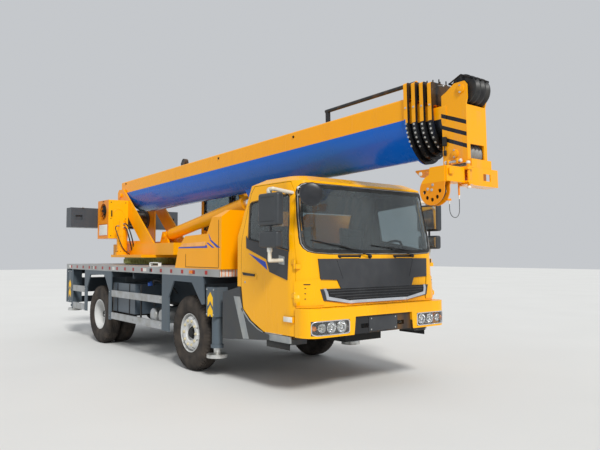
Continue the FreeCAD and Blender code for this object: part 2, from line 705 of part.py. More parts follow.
# Cab glass: curved windscreen and flat rear window, set in from the skin
def cab_glass():
    inset = value("glass_inset")
    thick = value("glass_thick")
    pane = cab_hull(-inset).cut(cab_hull(-inset - thick))
    gap = value("running_gap")
    screen = [(y - math.copysign(gap, y), z - math.copysign(gap, z - 2000)) for y, z in WINDSCREEN]
    rear = [(y - math.copysign(gap, y), z - math.copysign(gap, z - 1950)) for y, z in REAR_WINDOW]
    front = pane.common(prism(screen, "YZ", 2890, 3400))
    back = pane.common(prism(rear, "YZ", 1700, 2150))
    return Part.makeCompound([front, back])


publish("cab_glass", shaped("CabGlass", cab_glass()))


# Cab doors: cut from the same skin, as thick as the wall, with the window cut out and a side
# lamp at the front lower corner
def cab_door(side):
    wall = value("cab_wall")
    skin = cab_hull(0).cut(cab_hull(-wall, wall))
    low, high = sorted((side * (value("cab_half_width") + 10), side * (value("cab_half_width") - 190)))
    door = skin.common(prism(door_outline(0), "XZ", low, high))
    door = door.cut(prism(DOOR_WINDOW, "XZ", low, high))
    for height in HINGE_HEIGHTS:
        door = door.cut(hinge_room(side, height - 50))
        door = door.fuse(hinge_half(side, height + value("running_gap"), height + 50, -1))
    low, high = sorted((side * (value("cab_half_width") - 20), side * (value("cab_half_width") + 14)))
    side_lamp = block((2830, 3000), (low, high), (850, 920))
    return door.fuse(side_lamp).removeSplitter()


publish("door_right", shaped("DoorRight", cab_door(-1)))
publish("door_left", shaped("DoorLeft", cab_door(1)))


# Front fascia: dark panel with the grille slot and the bright strip under it
FASCIA = [(-905, 1548), (-885, 1322), (-640, 1310), (-590, 1215), (-900, 1215), (-860, 1090), (-480, 1045),
          (480, 1045), (860, 1090), (900, 1215), (590, 1215), (640, 1310), (885, 1322), (905, 1548)]


def front_fascia():
    proud = 14
    outer = cab_hull(proud).cut(cab_hull(0))
    return outer.common(prism(FASCIA, "YZ", 2900, 3400))


publish("front_fascia", shaped("FrontFascia", front_fascia()))


# Bumper: bowed shell with rounded corners, a dark recess in the middle and lamp pockets
def bumper_outline(grow):
    """The bumper seen from above: straight front, large corners, straight sides."""
    front = value("bumper_front") + grow
    rear = value("bumper_rear")
    half = value("cab_half_width") + grow
    radius = 170 + grow
    z = value("cab_bottom")
    turn = math.sqrt(0.5)

    def corner(side):
        cx = front - radius
        cy = side * (half - radius)
        points = [(cx + radius, cy), (cx + radius * turn, cy + side * radius * turn), (cx, cy + side * radius)]
        return [Vector(x, y, z) for x, y in points]

    right = corner(-1)
    left = corner(1)
    inner_rear = [Vector(rear, half, z), Vector(rear, -half, z)]
    return Part.Wire([
        Part.makeLine(right[0], left[0]), Part.Arc(*left).toShape(), Part.makeLine(left[2], inner_rear[0]),
        Part.makeLine(inner_rear[0], inner_rear[1]), Part.makeLine(inner_rear[1], right[2]),
        Part.Arc(*reversed(right)).toShape()])


BUMPER_WALL = 60


def bumper():
    height = value("bumper_top") - value("cab_bottom")
    outer = Part.Face(bumper_outline(0)).extrude(Vector(0, 0, height))
    inner = Part.Face(bumper_outline(-BUMPER_WALL)).extrude(Vector(0, 0, height))
    inner.translate(Vector(-10, 0, 0))
    lid = outer.common(block((2900, 3400), (-1300, 1300), (value("bumper_top") - 25, 1100)))
    shell = outer.cut(inner).fuse(lid)
    half = value("recess_half")
    recess = prism([(-half - 25, 600), (-half, value("recess_top")), (half, value("recess_top")),
                    (half + 25, 600)], "YZ", value("bumper_front") - 30, 3400)
    rails = value("rail_outer_y") + value("running_gap")
    shell = shell.cut(recess)
    shell = shell.cut(block((value("bumper_rear") - 1, value("rail_front")), (-rails, rails), (600, 1100)))
    for side in (-1, 1):
        shell = shell.cut(lamp_block(side, value("running_gap")))
        arm = sorted((side * 350, side * 430))
        shell = shell.fuse(block((value("rail_front"), value("bumper_front") - 30), arm,
                                 (value("rail_bottom") + 20, value("rail_top") - 60)))
    for y in (-300, 300):
        shell = shell.cut(block((3180, 3400), (y - 60, y + 60), (value("cab_bottom") + 60, value("cab_bottom") + 110)))
    return shell.removeSplitter()


def lamp_block(side, grow):
    """The space of a headlamp in the bumper."""
    low, high = sorted((side * (value("lamp_inner_y") - grow), side * (value("lamp_outer_y") + grow)))
    return block((3090 - grow, 3400), (low, high),
                 (value("lamp_bottom") - grow, value("lamp_top") + grow))


publish("bumper", shaped("Bumper", bumper()))


# Lamps: headlamps in the bumper and tail lamps
def lamps():
    face = Part.Face(bumper_outline(-4)).extrude(Vector(0, 0, 400))
    solids = [face.common(lamp_block(side, 0)) for side in (-1, 1)]
    for side in (-1, 1):
        outer_y = value("half_width") - 110
        low, high = sorted((side * (outer_y - 310), side * outer_y))
        rear = value("deck_rear")
        solids.append(block((rear - 10, rear + value("skin")), (low, high), (1215, 1300)))
    return Part.makeCompound(solids)


publish("lamps", shaped("Lamps", lamps()))


# Seats: driver's on the left, wide one on the right, each a cushion, a back and a plinth
def cab_seats():
    seats = []
    for name, low, high in (("Driver", "360", "860"), ("Mate", "-900", "-60")):
        seats.append(joined(name + "Seat", [
            box(name + "Plinth", ("2140", "2520"), (low + " + 60", high + " - 60"), ("cab_floor", "1330")),
            box(name + "Cushion", ("2080", "2580"), (low, high), ("1329", "1460")),
            box(name + "Back", ("1990", "2110"), (low, high), ("1400", "1990"))]))
    return group("CabSeats", seats)


publish("cab_seats", cab_seats())


# Dashboard with the steering column and wheel on the left
def dashboard():
    desk = plate("Desk", "XZ_Plane", [
        ("2800", "cab_floor + 260"), ("2780", "1470"), ("2860", "1560"), ("3000", "1580"),
        ("3030", "1500"), ("3030", "cab_floor"), ("2960", "cab_floor")], "-1000", "1000")
    hub = Vector(2720, 610, 1640)
    lean = Vector(-0.62, 0, 0.78)
    column = Part.makeCylinder(28, 330, hub - lean * 330, lean)
    rim = Part.makeTorus(205, 16, hub, lean)
    spokes = Part.makeCylinder(14, 410, hub - Vector(0, 205, 0), Vector(0, 1, 0))
    boss = Part.makeCylinder(55, 40, hub - lean * 30, lean)
    wheel = shaped("SteeringWheel", rim.fuse([spokes, boss, column]))
    return joined("Dashboard", [desk, wheel])


publish("dashboard", dashboard())


# Mudguards and steps behind the front doors: dark moulded covers
def across(side, outer, inner):
    """Low and high ends along Y of a piece on one side, from its outer and inner distances."""
    return (f"-({outer})", f"-({inner})") if side == "Right" else (inner, outer)


def cab_fenders():
    covers = []
    # side, rear edge
    for side, rear in (("Right", "1545"), ("Left", "1650")):
        points = [(rear, "1120"), ("1930", "1200"), ("1972", "945"), ("2150", "805"), ("2330", "722"),
                  ("2440", "692"), ("2540", "680"), ("2540", "620"), (rear, "530")]
        low, high = across(side, "cab_half_width + 10", "cab_half_width - 320")
        hollow_low, hollow_high = across(side, "cab_half_width - 30", "cab_half_width - 321")
        outer = plate("Cover" + side, "XZ_Plane", points, low, high)
        hollow = box("CoverHollow" + side, (f"{rear} + 30", "2600"), (hollow_low, hollow_high), ("500", "780"))
        step_low, step_high = across(side, "cab_half_width - 30", "cab_half_width - 250")
        hook_low, hook_high = across(side, "cab_half_width - 319", "rail_outer_y")
        step = box("Step" + side, ("2539", "2920"), (step_low, step_high), ("600", "660"))
        hook = box("Hook" + side, ("1900", "1960"), (hook_low, hook_high), ("850", "950"))
        # room for the front outrigger's housing and for the beam that passes through it
        room = box("BeamRoom" + side, ("1500", "front_beam_left_x + beam_width / 2 + housing_wall + 2 * safe_gap"),
                   ("-(housing_end_y + safe_gap)", "housing_end_y + safe_gap"), ("beam_bottom - 20", "1135"))
        covers.append(joined("Fender" + side, [less("CoverShell" + side, outer, [hollow, room]), step, hook]))
    return group("CabFenders", covers)


publish("cab_fenders", cab_fenders())


# Door mirrors: two housings on tube arms from the door's frame
def mirror_arm(points, radius):
    """A bent tube through a few points, with round elbows."""
    pieces = []
    for here, there in zip(points, points[1:]):
        pieces.append(Part.makeCylinder(radius, (there - here).Length, here, there - here))
    for elbow in points[1:-1]:
        pieces.append(Part.makeSphere(radius, elbow))
    return pieces[0].fuse(pieces[1:])


def door_mirrors(side):
    y = side * value("mirror_y")
    half = value("mirror_thick") / 2
    radius = value("arm_radius")
    low, high = y - half, y + half
    main = block((2640, 3010), (low, high), (1910, 2270))
    main = main.makeFillet(30, main.Edges)
    small = block((2655, 2995), (low, high), (1670, 1850))
    small = small.makeFillet(30, small.Edges)
    top_arm = mirror_arm([Vector(2868, side * 1055, 2285), Vector(2868, y, 2315), Vector(2800, y, 2315),
                          Vector(2800, y, 2240)], radius)
    low_arm = mirror_arm([Vector(2810, side * 1130, 1530), Vector(2810, y, 1530), Vector(2810, y, 1690)], radius)
    stem = Part.makeCylinder(14, 100, Vector(2825, y, 1830))
    return main.fuse([small, top_arm, low_arm, stem]).cut(cab_hull(0))


publish("mirrors_right", shaped("MirrorsRight", door_mirrors(-1)))
publish("mirrors_left", shaped("MirrorsLeft", door_mirrors(1)))


# Round mirror at the right front corner of the cab, on a short arm from the pillar
def front_mirror():
    facing = Vector(0.8, -0.6, 0)
    middle = Vector(3262, -1120, 2235)
    disc = Part.makeCylinder(125, 50, middle, facing)
    arm = mirror_arm([Vector(2925, -1028, 2262), Vector(3060, -1130, 2320), middle], 12)
    return disc.fuse(arm).cut(cab_hull(0))


publish("front_mirror", shaped("FrontMirror", front_mirror()))


# Slewing ring, fixed to the turret
def slew_ring():
    ring = rod("RingBody", "z", "ring_radius", ("slew_x", "0", "turret_top"), "ring_height")
    bore = rod("RingBore", "z", "ring_bore", ("slew_x", "0", "turret_top - 1"), "ring_height + 2")
    return less("SlewRing", ring, [bore])


publish("slew_ring", slew_ring())


# Steering knuckles: a fork over the axle's end, its kingpin and the wheel's spindle
def knuckle():
    ears = [box(f"Ear{n}", ("-55", "55"), ("-70", "75"), (low, high))
            for n, (low, high) in enumerate([("60 + safe_gap", "105"), ("-105", "-(60 + safe_gap)")])]
    pin = rod("Kingpin", "z", "kingpin_radius", ("0", "0", "-105"), "210")
    neck = box("Neck", ("-60", "60"), ("-94", "-65"), ("-105", "105"))
    spindle = rod("Spindle", "y", "spindle_radius", ("0", "-(tyre_outer_y - kingpin_y - 60)", "0"),
                  "tyre_outer_y - kingpin_y - 150")
    arm = box("SteeringArm", ("-230", "-50"), ("-50", "-15"), ("-104", "-75"))
    return joined("KnuckleRight", ears + [pin, neck, spindle, arm])


right_knuckle = publish("knuckle_right", put(knuckle(), "front_axle_x", "-kingpin_y", "wheel_radius"))
publish("knuckle_left", mirrored("KnuckleLeft", right_knuckle))


# Wheels. The profiles give radius and place along Y, with the outer sidewall towards -Y.
def tyre(name):
    """One tyre whose outer sidewall is at zero and inner sidewall at +tyre_width."""
    return turned(name, [
        ("rim_radius - 22", "28"), ("rim_radius + 30", "8"), ("(rim_radius + wheel_radius) / 2", "0"),
        ("wheel_radius - 45", "10"), ("wheel_radius - 8", "32"), ("wheel_radius", "60"),
        ("wheel_radius", "tyre_width - 60"), ("wheel_radius - 8", "tyre_width - 32"),
        ("wheel_radius - 45", "tyre_width - 10"), ("(rim_radius + wheel_radius) / 2", "tyre_width"),
        ("rim_radius + 30", "tyre_width - 8"), ("rim_radius - 22", "tyre_width - 28")])


def front_rim():
    """Front rim: flanges, a disc that domes outwards and a recessed hub."""
    seat = "rim_radius - 22 - running_gap"
    well = turned("FrontRimTurn", [
        ("spindle_radius + running_gap", "75"), ("112", "75"), ("118", "50"), ("128", "30"), ("195", "22"),
        ("222", "40"), ("240", "70"), ("256", "95"), ("256", "24"), (seat, "24"),
        (seat, "tyre_width - 24"), ("240", "tyre_width - 24"), ("240", "130"), ("205", "110"),
        ("190", "62"), ("140", "70"), ("112", "120"), ("112", "tyre_width - 40"),
        ("spindle_radius + running_gap", "tyre_width - 40")])
    return well


def rear_rim():
    """Twin rims: the outer one dished deep, both on one hub."""
    inner_side = "2 * tyre_width + twin_gap"
    seat = "rim_radius - 22 - running_gap"
    return turned("RearRimTurn", [
        ("spindle_radius + running_gap", "150"), ("110", "150"), ("115", "205"), ("215", "225"),
        ("238", "190"), ("248", "24"), (seat, "24"), (seat, f"{inner_side} - 24"), ("240", f"{inner_side} - 24"),
        ("240", "300"), ("120", "290"), ("110", "430"), ("spindle_radius + running_gap", "430")])


def place_wheel(thing, axle, reach="tyre_outer_y"):
    return put(thing, axle, f"-{reach}", "wheel_radius")


front_tyre = publish("tyre_front_right", place_wheel(tyre("TyreFrontRight"), "front_axle_x"))
publish("tyre_front_left", mirrored("TyreFrontLeft", front_tyre))
rim = publish("rim_front_right", place_wheel(front_rim(), "front_axle_x"))
publish("rim_front_left", mirrored("RimFrontLeft", rim))
inner_tyre = tyre("TyreRearInner")
put(inner_tyre, "0", "tyre_width + twin_gap", "0")
twin = publish("tyres_rear_right", place_wheel(group("TyresRearRight", [tyre("TyreRearOuter"), inner_tyre]),
                                               REAR_AXLE))
publish("tyres_rear_left", mirrored("TyresRearLeft", twin))
twin_rim = publish("rims_rear_right", place_wheel(rear_rim(), REAR_AXLE))
publish("rims_rear_left", mirrored("RimsRearLeft", twin_rim))


# Outriggers: a hollow beam with its end box and jack tube, and a jack rod with its foot
def outrigger(end, side, tube_bottom, box_bottom, box_top, foot_bottom):
    place = f"{end.lower()}_beam_{side.lower()}_x"
    name = end + side
    half = "beam_width / 2"
    outer_y = "half_width - 20"
    beam = less(name + "Beam", box(
        name + "BeamBox", (f"{place} - {half}", f"{place} + {half}"), (f"-({outer_y})", "beam_inner_y"),
        ("beam_bottom", "beam_bottom + beam_height")), [box(
            name + "BeamHollow", (f"{place} - {half} + beam_wall", f"{place} + {half} - beam_wall"),
            ("-(housing_end_y - 10)", "beam_inner_y + 1"),
            ("beam_bottom + beam_wall", "beam_bottom + beam_height - beam_wall"))])
    end_box = box(
        name + "EndBox", (f"{place} - end_box_width / 2", f"{place} + end_box_width / 2"),
        ("-half_width", "-(housing_end_y + safe_gap)"), (box_bottom, box_top))
    tube = rod(name + "Tube", "z", "jack_tube_radius", (place, "-jack_y", tube_bottom),
               f"{box_bottom} - {tube_bottom} + 1")
    collar = rod(name + "Collar", "z", "jack_tube_radius + 14", (place, "-jack_y", tube_bottom), "40")
    bore = rod(name + "Bore", "z", "jack_rod_radius + running_gap", (place, "-jack_y", f"{tube_bottom} - 1"),
               f"{box_top} - {tube_bottom} - 20")
    whole = less(name + "Outrigger", joined(name + "Weld", [beam, end_box, tube, collar]), [bore])
    shaft = rod(name + "Shaft", "z", "jack_rod_radius", (place, "-jack_y", f"{foot_bottom} + foot_thick - 1"),
                f"{box_top} - 60 - ({foot_bottom}) - foot_thick")
    foot = rod(name + "Foot", "z", "foot_radius", (place, "-jack_y", foot_bottom), "foot_thick")
    return whole, joined(name + "Jack", [shaft, foot])


for end, tube_bottom, box_bottom, box_top, foot_bottom in (
        ("Front", "385", "790", "1170", "front_foot_bottom"), ("Rear", "560", "640", "1285", "rear_foot_bottom")):
    for side in ("Right", "Left"):
        beam, jack = outrigger(end, side, tube_bottom, box_bottom, box_top, foot_bottom)
        if side == "Left":
            beam = mirrored(beam.Name + "Mirror", beam)
            jack = mirrored(jack.Name + "Mirror", jack)
        where = f"{end.lower()}_{side.lower()}"
        publish("outrigger_" + where, beam)
        publish("jack_" + where, jack)


# Superstructure: base on the ring, side plates that carry the boom, platform for the cab
CHEEK = [
    ("weight_front", "2200"), ("weight_front", "2480"), ("-3960", "2560"), ("-3960", "2860"), ("-3900", "2920"),
    ("-3680", "2920"), ("-3600", "2860"), ("-2230", "base_top - 1"), ("-3990", "base_top - 1"),
    ("-3990", "2050")]
CHEEK_OPENING = [("-3640", "2520"), ("-3640", "1860"), ("-2840", "1860")]


def turntable():
    floor = "turret_top + ring_height + running_gap"
    weld = [
        box("BasePlate", ("slew_x - 700", "slew_x + 700"), ("-680", "680"), (floor, f"{floor} + 50")),
        box("BaseGirder", ("-4030", "-1340"), ("-400", "400"), (f"{floor} + 49", "base_top")),
        box("CabPlatform", ("op_cab_rear", "op_cab_front - 60"), ("399", "op_cab_outer_y - 30"),
            (f"{floor} + 2", "op_cab_bottom")),
        rod("InnerRing", "z", "ring_bore - safe_gap", ("slew_x", "0", "turret_top + safe_gap"),
            "ring_height")]
    for side, low, high in both_sides("cheek_outer_y - cheek_thick", "cheek_outer_y"):
        weld.append(plate("Cheek" + side, "XZ_Plane", CHEEK, low, high, [CHEEK_OPENING]))
    for side, low, high in both_sides("55", "90"):
        weld.append(plate("LiftLug" + side, "XZ_Plane", [
            ("lift_foot_x - 180", "base_top - 1"), ("lift_foot_x - 75", "lift_foot_z + 75"),
            ("lift_foot_x + 75", "lift_foot_z + 75"), ("lift_foot_x + 180", "base_top - 1")], low, high))
    weld.append(rod("LiftFootPin", "y", "lift_pin_radius", ("lift_foot_x", "-110", "lift_foot_z"), "220"))
    weld.append(rod("BoomPin", "y", "pivot_radius", ("pivot_x", "-(cheek_outer_y + 30)", "pivot_z"),
                    "2 * cheek_outer_y + 60"))
    weld.append(rod("WinchPin", "y", "40", ("winch_x", "-(cheek_outer_y - 1)", "winch_z"),
                    "2 * cheek_outer_y - 2"))
    weld.append(box("RearTie", ("weight_front", "winch_x - winch_flange_radius - safe_gap"),
                    ("-(cheek_outer_y - 1)", "cheek_outer_y - 1"), ("2210", "2330")))
    return joined("Turntable", weld)


publish("turntable", turntable())


# Slewing drive: a vertical reducer with its motor on the base plate
def slew_drive():
    floor = "turret_top + ring_height + running_gap + 50"
    return joined("SlewDrive", [
        rod("ReducerFoot", "z", "125", ("slew_x - 510", "-535", floor), "60"),
        rod("Reducer", "z", "100", ("slew_x - 510", "-535", f"{floor} + 59"), "430"),
        rod("SlewMotor", "z", "65", ("slew_x - 510", "-535", f"{floor} + 488"), "180")])


publish("slew_drive", slew_drive())


# Equipment cabinet on the right side plate, with an oval fan opening
def equipment_cabinet():
    case = box("Case", ("-3990", "-3420"), ("-750", "-cheek_outer_y"), ("1910", "2670"))
    fan = rod("FanOpening", "y", "170", ("-3700", "-751", "2440"), "41")
    recess = box("LouvreRecess", ("-3930", "-3480"), ("-751", "-735"), ("1960", "2200"))
    return less("EquipmentCabinet", case, [fan, recess])


publish("equipment_cabinet", equipment_cabinet())


# Counterweight: one slab across the rear
def counterweight():
    slab = plate("Slab", "XY_Plane", [
        ("weight_front", "-(half_width - 10)"), ("weight_front", "half_width - 10"),
        ("weight_rear + 90", "half_width - 10"), ("weight_rear", "half_width - 260"),
        ("weight_rear", "-(half_width - 260)"), ("weight_rear + 90", "-(half_width - 10)")],
        "weight_bottom", "weight_top")
    pockets = [box(f"LiftPocket{n}", ("weight_front - 40", "weight_front + 1"), (low, high), ("2300", "2400"))
               for n, (low, high) in enumerate([("-1100", "-960"), ("960", "1100")])]
    return less("Counterweight", slab, pockets)


publish("counterweight", counterweight())


# Operator's cab: a hollow shell with a leaning front, its windows and its doorway cut
OP_SIDE = [
    ("op_cab_rear", "op_cab_bottom"), ("op_cab_rear", "op_cab_top - 60"), ("op_cab_rear + 60", "op_cab_top"),
    ("op_cab_front - 320", "op_cab_top"), ("op_cab_front - 240", "op_cab_top - 40"),
    ("op_cab_front", "op_cab_bottom + 520"), ("op_cab_front", "op_cab_bottom + 90"),
    ("op_cab_front - 90", "op_cab_bottom")]
OP_HOLLOW = [
    ("op_cab_rear + op_cab_wall", "op_cab_bottom + op_cab_wall"),
    ("op_cab_rear + op_cab_wall", "op_cab_top - 80"), ("op_cab_rear + 80", "op_cab_top - op_cab_wall"),
    ("op_cab_front - 335", "op_cab_top - op_cab_wall"), ("op_cab_front - 272", "op_cab_top - 75"),
    ("op_cab_front - op_cab_wall", "op_cab_bottom + 515"),
    ("op_cab_front - op_cab_wall", "op_cab_bottom + 110"),
    ("op_cab_front - 110", "op_cab_bottom + op_cab_wall")]


def operator_cab():
    body = plate("OpCabBody", "XZ_Plane", OP_SIDE, "op_cab_inner_y", "op_cab_outer_y")
    room = plate("OpCabRoom", "XZ_Plane", OP_HOLLOW, "op_cab_inner_y + op_cab_wall",
                 "op_cab_outer_y - op_cab_wall")
    windows = [
        plate("OpInnerWindow", "XZ_Plane", [
            ("op_cab_rear + 110", "2050"), ("op_cab_rear + 110", "2820"), ("op_cab_front - 380", "2820"),
            ("op_cab_front - 130", "2150"), ("op_cab_front - 130", "1900"), ("-900", "1900")],
            "op_cab_inner_y - 1", "op_cab_inner_y + op_cab_wall + 1"),
        box("OpFrontWindow", ("op_cab_front - 330", "op_cab_front + 1"),
            ("op_cab_inner_y + 90", "op_cab_outer_y - 90"), ("1800", "2830")),
        box("OpRearWindow", ("op_cab_rear - 1", "op_cab_rear + op_cab_wall + 1"),
            ("op_cab_inner_y + 100", "op_cab_outer_y - 100"), ("2150", "2780")),
        box("OpRoofWindow", ("-1300", "-750"), ("op_cab_inner_y + 100", "op_cab_outer_y - 100"),
            ("op_cab_top - op_cab_wall - 1", "op_cab_top + 1")),
        plate("OpDoorway", "XZ_Plane", [
            ("-1150", "1660"), ("-1150", "2830"), ("-720", "2830"), ("-500", "2110"), ("-480", "1660")],
            "op_cab_outer_y - op_cab_wall - 1", "op_cab_outer_y + 1"),
        box("OpSideWindow", ("-1840", "-1290"), ("op_cab_outer_y - op_cab_wall - 1", "op_cab_outer_y + 1"),
            ("2050", "2780"))]
    rails = [box(f"DoorTrack{n}", ("op_cab_rear", front), ("op_cab_outer_y - 1", "op_cab_outer_y + 30"),
                 (low, high)) for n, (front, low, high) in enumerate([
                     ("-430", "1622", "1634"), ("-690", "2866", "2878")])]
    return joined("OperatorCab", [less("OpCabShell", body, [room] + windows)] + rails)


publish("operator_cab", operator_cab())


# Operator's sliding door, with its window cut, between its two tracks
def operator_door():
    track = "running_gap"
    return plate("OperatorDoor", "XZ_Plane", [
        ("-1190", f"1634 + {track}"), ("-1190", f"2866 - {track}"), ("-700", f"2866 - {track}"),
        ("-460", "2115"), ("-440", f"1634 + {track}")],
        "op_cab_outer_y + safe_gap", "op_cab_outer_y + safe_gap + 24", [[
            ("-1125", "1950"), ("-1125", "2800"), ("-745", "2800"), ("-530", "2105"), ("-520", "1950")]])


publish("operator_door", operator_door())


# Operator's seat with its control levers
def operator_seat():
    return joined("OperatorSeat", [
        box("OpPlinth", ("-1500", "-1150"), ("700", "980"), ("op_cab_bottom + op_cab_wall", "1860")),
        box("OpCushion", ("-1560", "-1080"), ("620", "1060"), ("1859", "1960")),
        box("OpBack", ("-1650", "-1540"), ("620", "1060"), ("1900", "2480")),
        box("LeverConsole", ("-1151", "-800"), ("700", "980"), ("op_cab_bottom + op_cab_wall", "1700")),
        box("LeverStand", ("-860", "-790"), ("640", "1040"), ("op_cab_bottom + op_cab_wall", "2050"))])


publish("operator_seat", operator_seat())


# Winch: a drum between the side plates on a fixed pin
def winch_drum():
    half = "cheek_outer_y - cheek_thick - safe_gap"
    drum = rod("DrumCore", "y", "winch_drum_radius", ("0", f"-({half})", "0"), f"2 * ({half})")
    flanges = [rod(f"Flange{n}", "y", "winch_flange_radius", ("0", start, "0"), "16")
               for n, start in enumerate([f"-({half})", f"{half} - 16"])]
    bore = rod("DrumBore", "y", "40 + running_gap", ("0", "-400", "0"), "800")
    return put(less("WinchDrum", joined("DrumWeld", [drum] + flanges), [bore]), "winch_x", "0", "winch_z")


publish("winch_drum", winch_drum())


# Boom sections. Each is a U-shaped tube in the boom's own axes: X along it from the pivot.
def belly(half, depth):
    """Side radius and bottom radius of a round belly that is half wide and depth deep."""
    bottom = half * 0.7
    side = (half ** 2 + (depth - bottom) ** 2 - bottom ** 2) / (2 * (half - bottom))
    return side, bottom


def boom_face(half, top, split, low):
    """A U-shaped face across the boom: flat top, straight sides, round belly of three arcs."""
    depth = split - low
    side, bottom = belly(half, depth)
    centre = Vector(0, 0, low + bottom)
    joint_angle = math.atan2(depth - bottom, side - half)

    def on_side(sign, angle):
        x = half - side + side * math.cos(angle)
        return Vector(0, sign * x, split - side * math.sin(angle))

    def on_bottom(sign, angle):
        return Vector(0, sign * bottom * math.cos(angle), centre.z - bottom * math.sin(angle))

    corner = 25
    turn = corner * (1 - math.sqrt(0.5))
    right_joint = on_side(-1, joint_angle)
    left_joint = on_side(1, joint_angle)
    edges = [
        Part.makeLine(Vector(0, -half + corner, top), Vector(0, half - corner, top)),
        Part.Arc(Vector(0, half - corner, top), Vector(0, half - turn, top - turn),
                 Vector(0, half, top - corner)).toShape(),
        Part.makeLine(Vector(0, half, top - corner), Vector(0, half, split)),
        Part.Arc(Vector(0, half, split), on_side(1, joint_angle / 2), left_joint).toShape(),
        Part.Arc(left_joint, Vector(0, 0, low), right_joint).toShape(),
        Part.Arc(right_joint, on_side(-1, joint_angle / 2), Vector(0, -half, split)).toShape(),
        Part.makeLine(Vector(0, -half, split), Vector(0, -half, top - corner)),
        Part.Arc(Vector(0, -half, top - corner), Vector(0, -half + turn, top - turn),
                 Vector(0, -half + corner, top)).toShape()]
    return Part.Face(Part.Wire(edges))


def boom_bar(start, end, half, top, split, low):
    solid = boom_face(half, top, split, low).extrude(Vector(end - start, 0, 0))
    solid.translate(Vector(start, 0, 0))
    return solid


def boom_sizes(number):
    """Half width, top, start of the belly and lowest line of one section, outside."""
    inward = value("boom_step") * (number - 1)
    return (value("boom_half") - inward, value("boom_top") - inward, value("boom_split") - inward * 0.3,
            value("boom_bottom") + inward)


def shrink(section, by):
    half, top, split, low = section
    return half - by, top - by, split, low + by


# Columns: number, rear end, how far the collar's top stands over the section's own top
BOOM_SECTIONS = [(1, -60, 160), (2, 250, 190), (3, 330, 215), (4, 410, 235), (5, 490, 0)]


def slide_pads(number, front):
    """Flat pads inside the front of a section that guide the next one's top and sides."""
    wall = value("boom_wall")
    half, top, split, low = shrink(boom_sizes(number), wall)
    next_half, next_top, next_split, next_low = boom_sizes(number + 1)
    gap = value("running_gap")
    pads = [block((front - 160, front - 20), (-next_half + 60, next_half - 60), (next_top + gap, top + 1))]
    for side in (-1, 1):
        pads.append(block((front - 160, front - 20), sorted((side * (next_half + gap), side * (half + 1))),
                          (next_split + 20, next_top - 60)))
    return pads


def boom_section(number, rear, rise):
    """The tube of a section and the collar round its front, which the last section doesn't have."""
    wall = value("boom_wall")
    front = value("boom_front") + value("collar_pitch") * (number - 1)
    if number == 5:
        front = value("head_rear") + 60
    outer = boom_sizes(number)
    half, top, split, low = outer
    shell = boom_bar(rear, front, *outer).cut(boom_bar(rear - 1, front + 1, *shrink(outer, wall)))
    if number < 5:
        thick = value("collar_thick")
        spread = 24
        ring = boom_bar(front - thick, front, half + spread, top + rise, split, low - 60)
        ring = ring.cut(boom_bar(front - thick - 1, front + 1, *outer))
        return shell.fuse(slide_pads(number, front)), ring
    return shell, None


def boom_base():
    shell, ring = boom_section(*BOOM_SECTIONS[0])
    half = value("boom_half")
    slope = prism([(-200, -20), (-60, -20), (560, -330), (640, -420), (-200, -420)], "XZ", -400, 400)
    shell = shell.cut(slope)
    pivot = value("pivot_radius")
    bosses = []
    for side in (-1, 1):
        low, high = sorted((side * (half - 60), side * half))
        bosses.append(Part.makeCylinder(pivot + 45, high - low, Vector(30, low, 0), Vector(0, 1, 0)))
    shell = shell.fuse(bosses)
    along = value("lift_eye_along")
    down = value("lift_eye_down")
    lugs = []
    for side in (-1, 1):
        low, high = sorted((side * 80, side * 112))
        lugs.append(prism([(along - 260, -330), (along - 90, down - 70), (along + 90, down - 70),
                           (along + 330, -330)], "XZ", low, high))
    pin = Part.makeCylinder(value("lift_pin_radius"), 250, Vector(along, -125, down), Vector(0, 1, 0))
    lugs = pin.fuse(lugs).cut(boom_bar(0, 7500, *boom_sizes(1)))
    shell = shell.cut(boom_bar(200, 7500, *shrink(boom_sizes(1), value("boom_wall"))))
    shell = shell.cut(Part.makeCylinder(pivot + value("running_gap"), 800, Vector(0, -400, 0), Vector(0, 1, 0)))
    top = value("boom_top")
    reel = [
        Part.makeCylinder(85, 60, Vector(2150, -60, top + 110), Vector(0, 1, 0)),
        block((2080, 2220), (-75, -60), (top - 5, top + 130)),
        block((2030, 2270), (-120, 60), (top - 5, top + 8))]
    bar = [
        Part.makeCylinder(24, 1520, Vector(6150, -110, top + 205), Vector(1, 0, 0)),
        block((6160, 6210), (-130, -90), (top - 5, top + 205)),
        block((7600, 7650), (-130, -90), (top - 5, top + 205))]
    return Part.makeCompound([shell.fuse(reel + bar), ring, lugs])


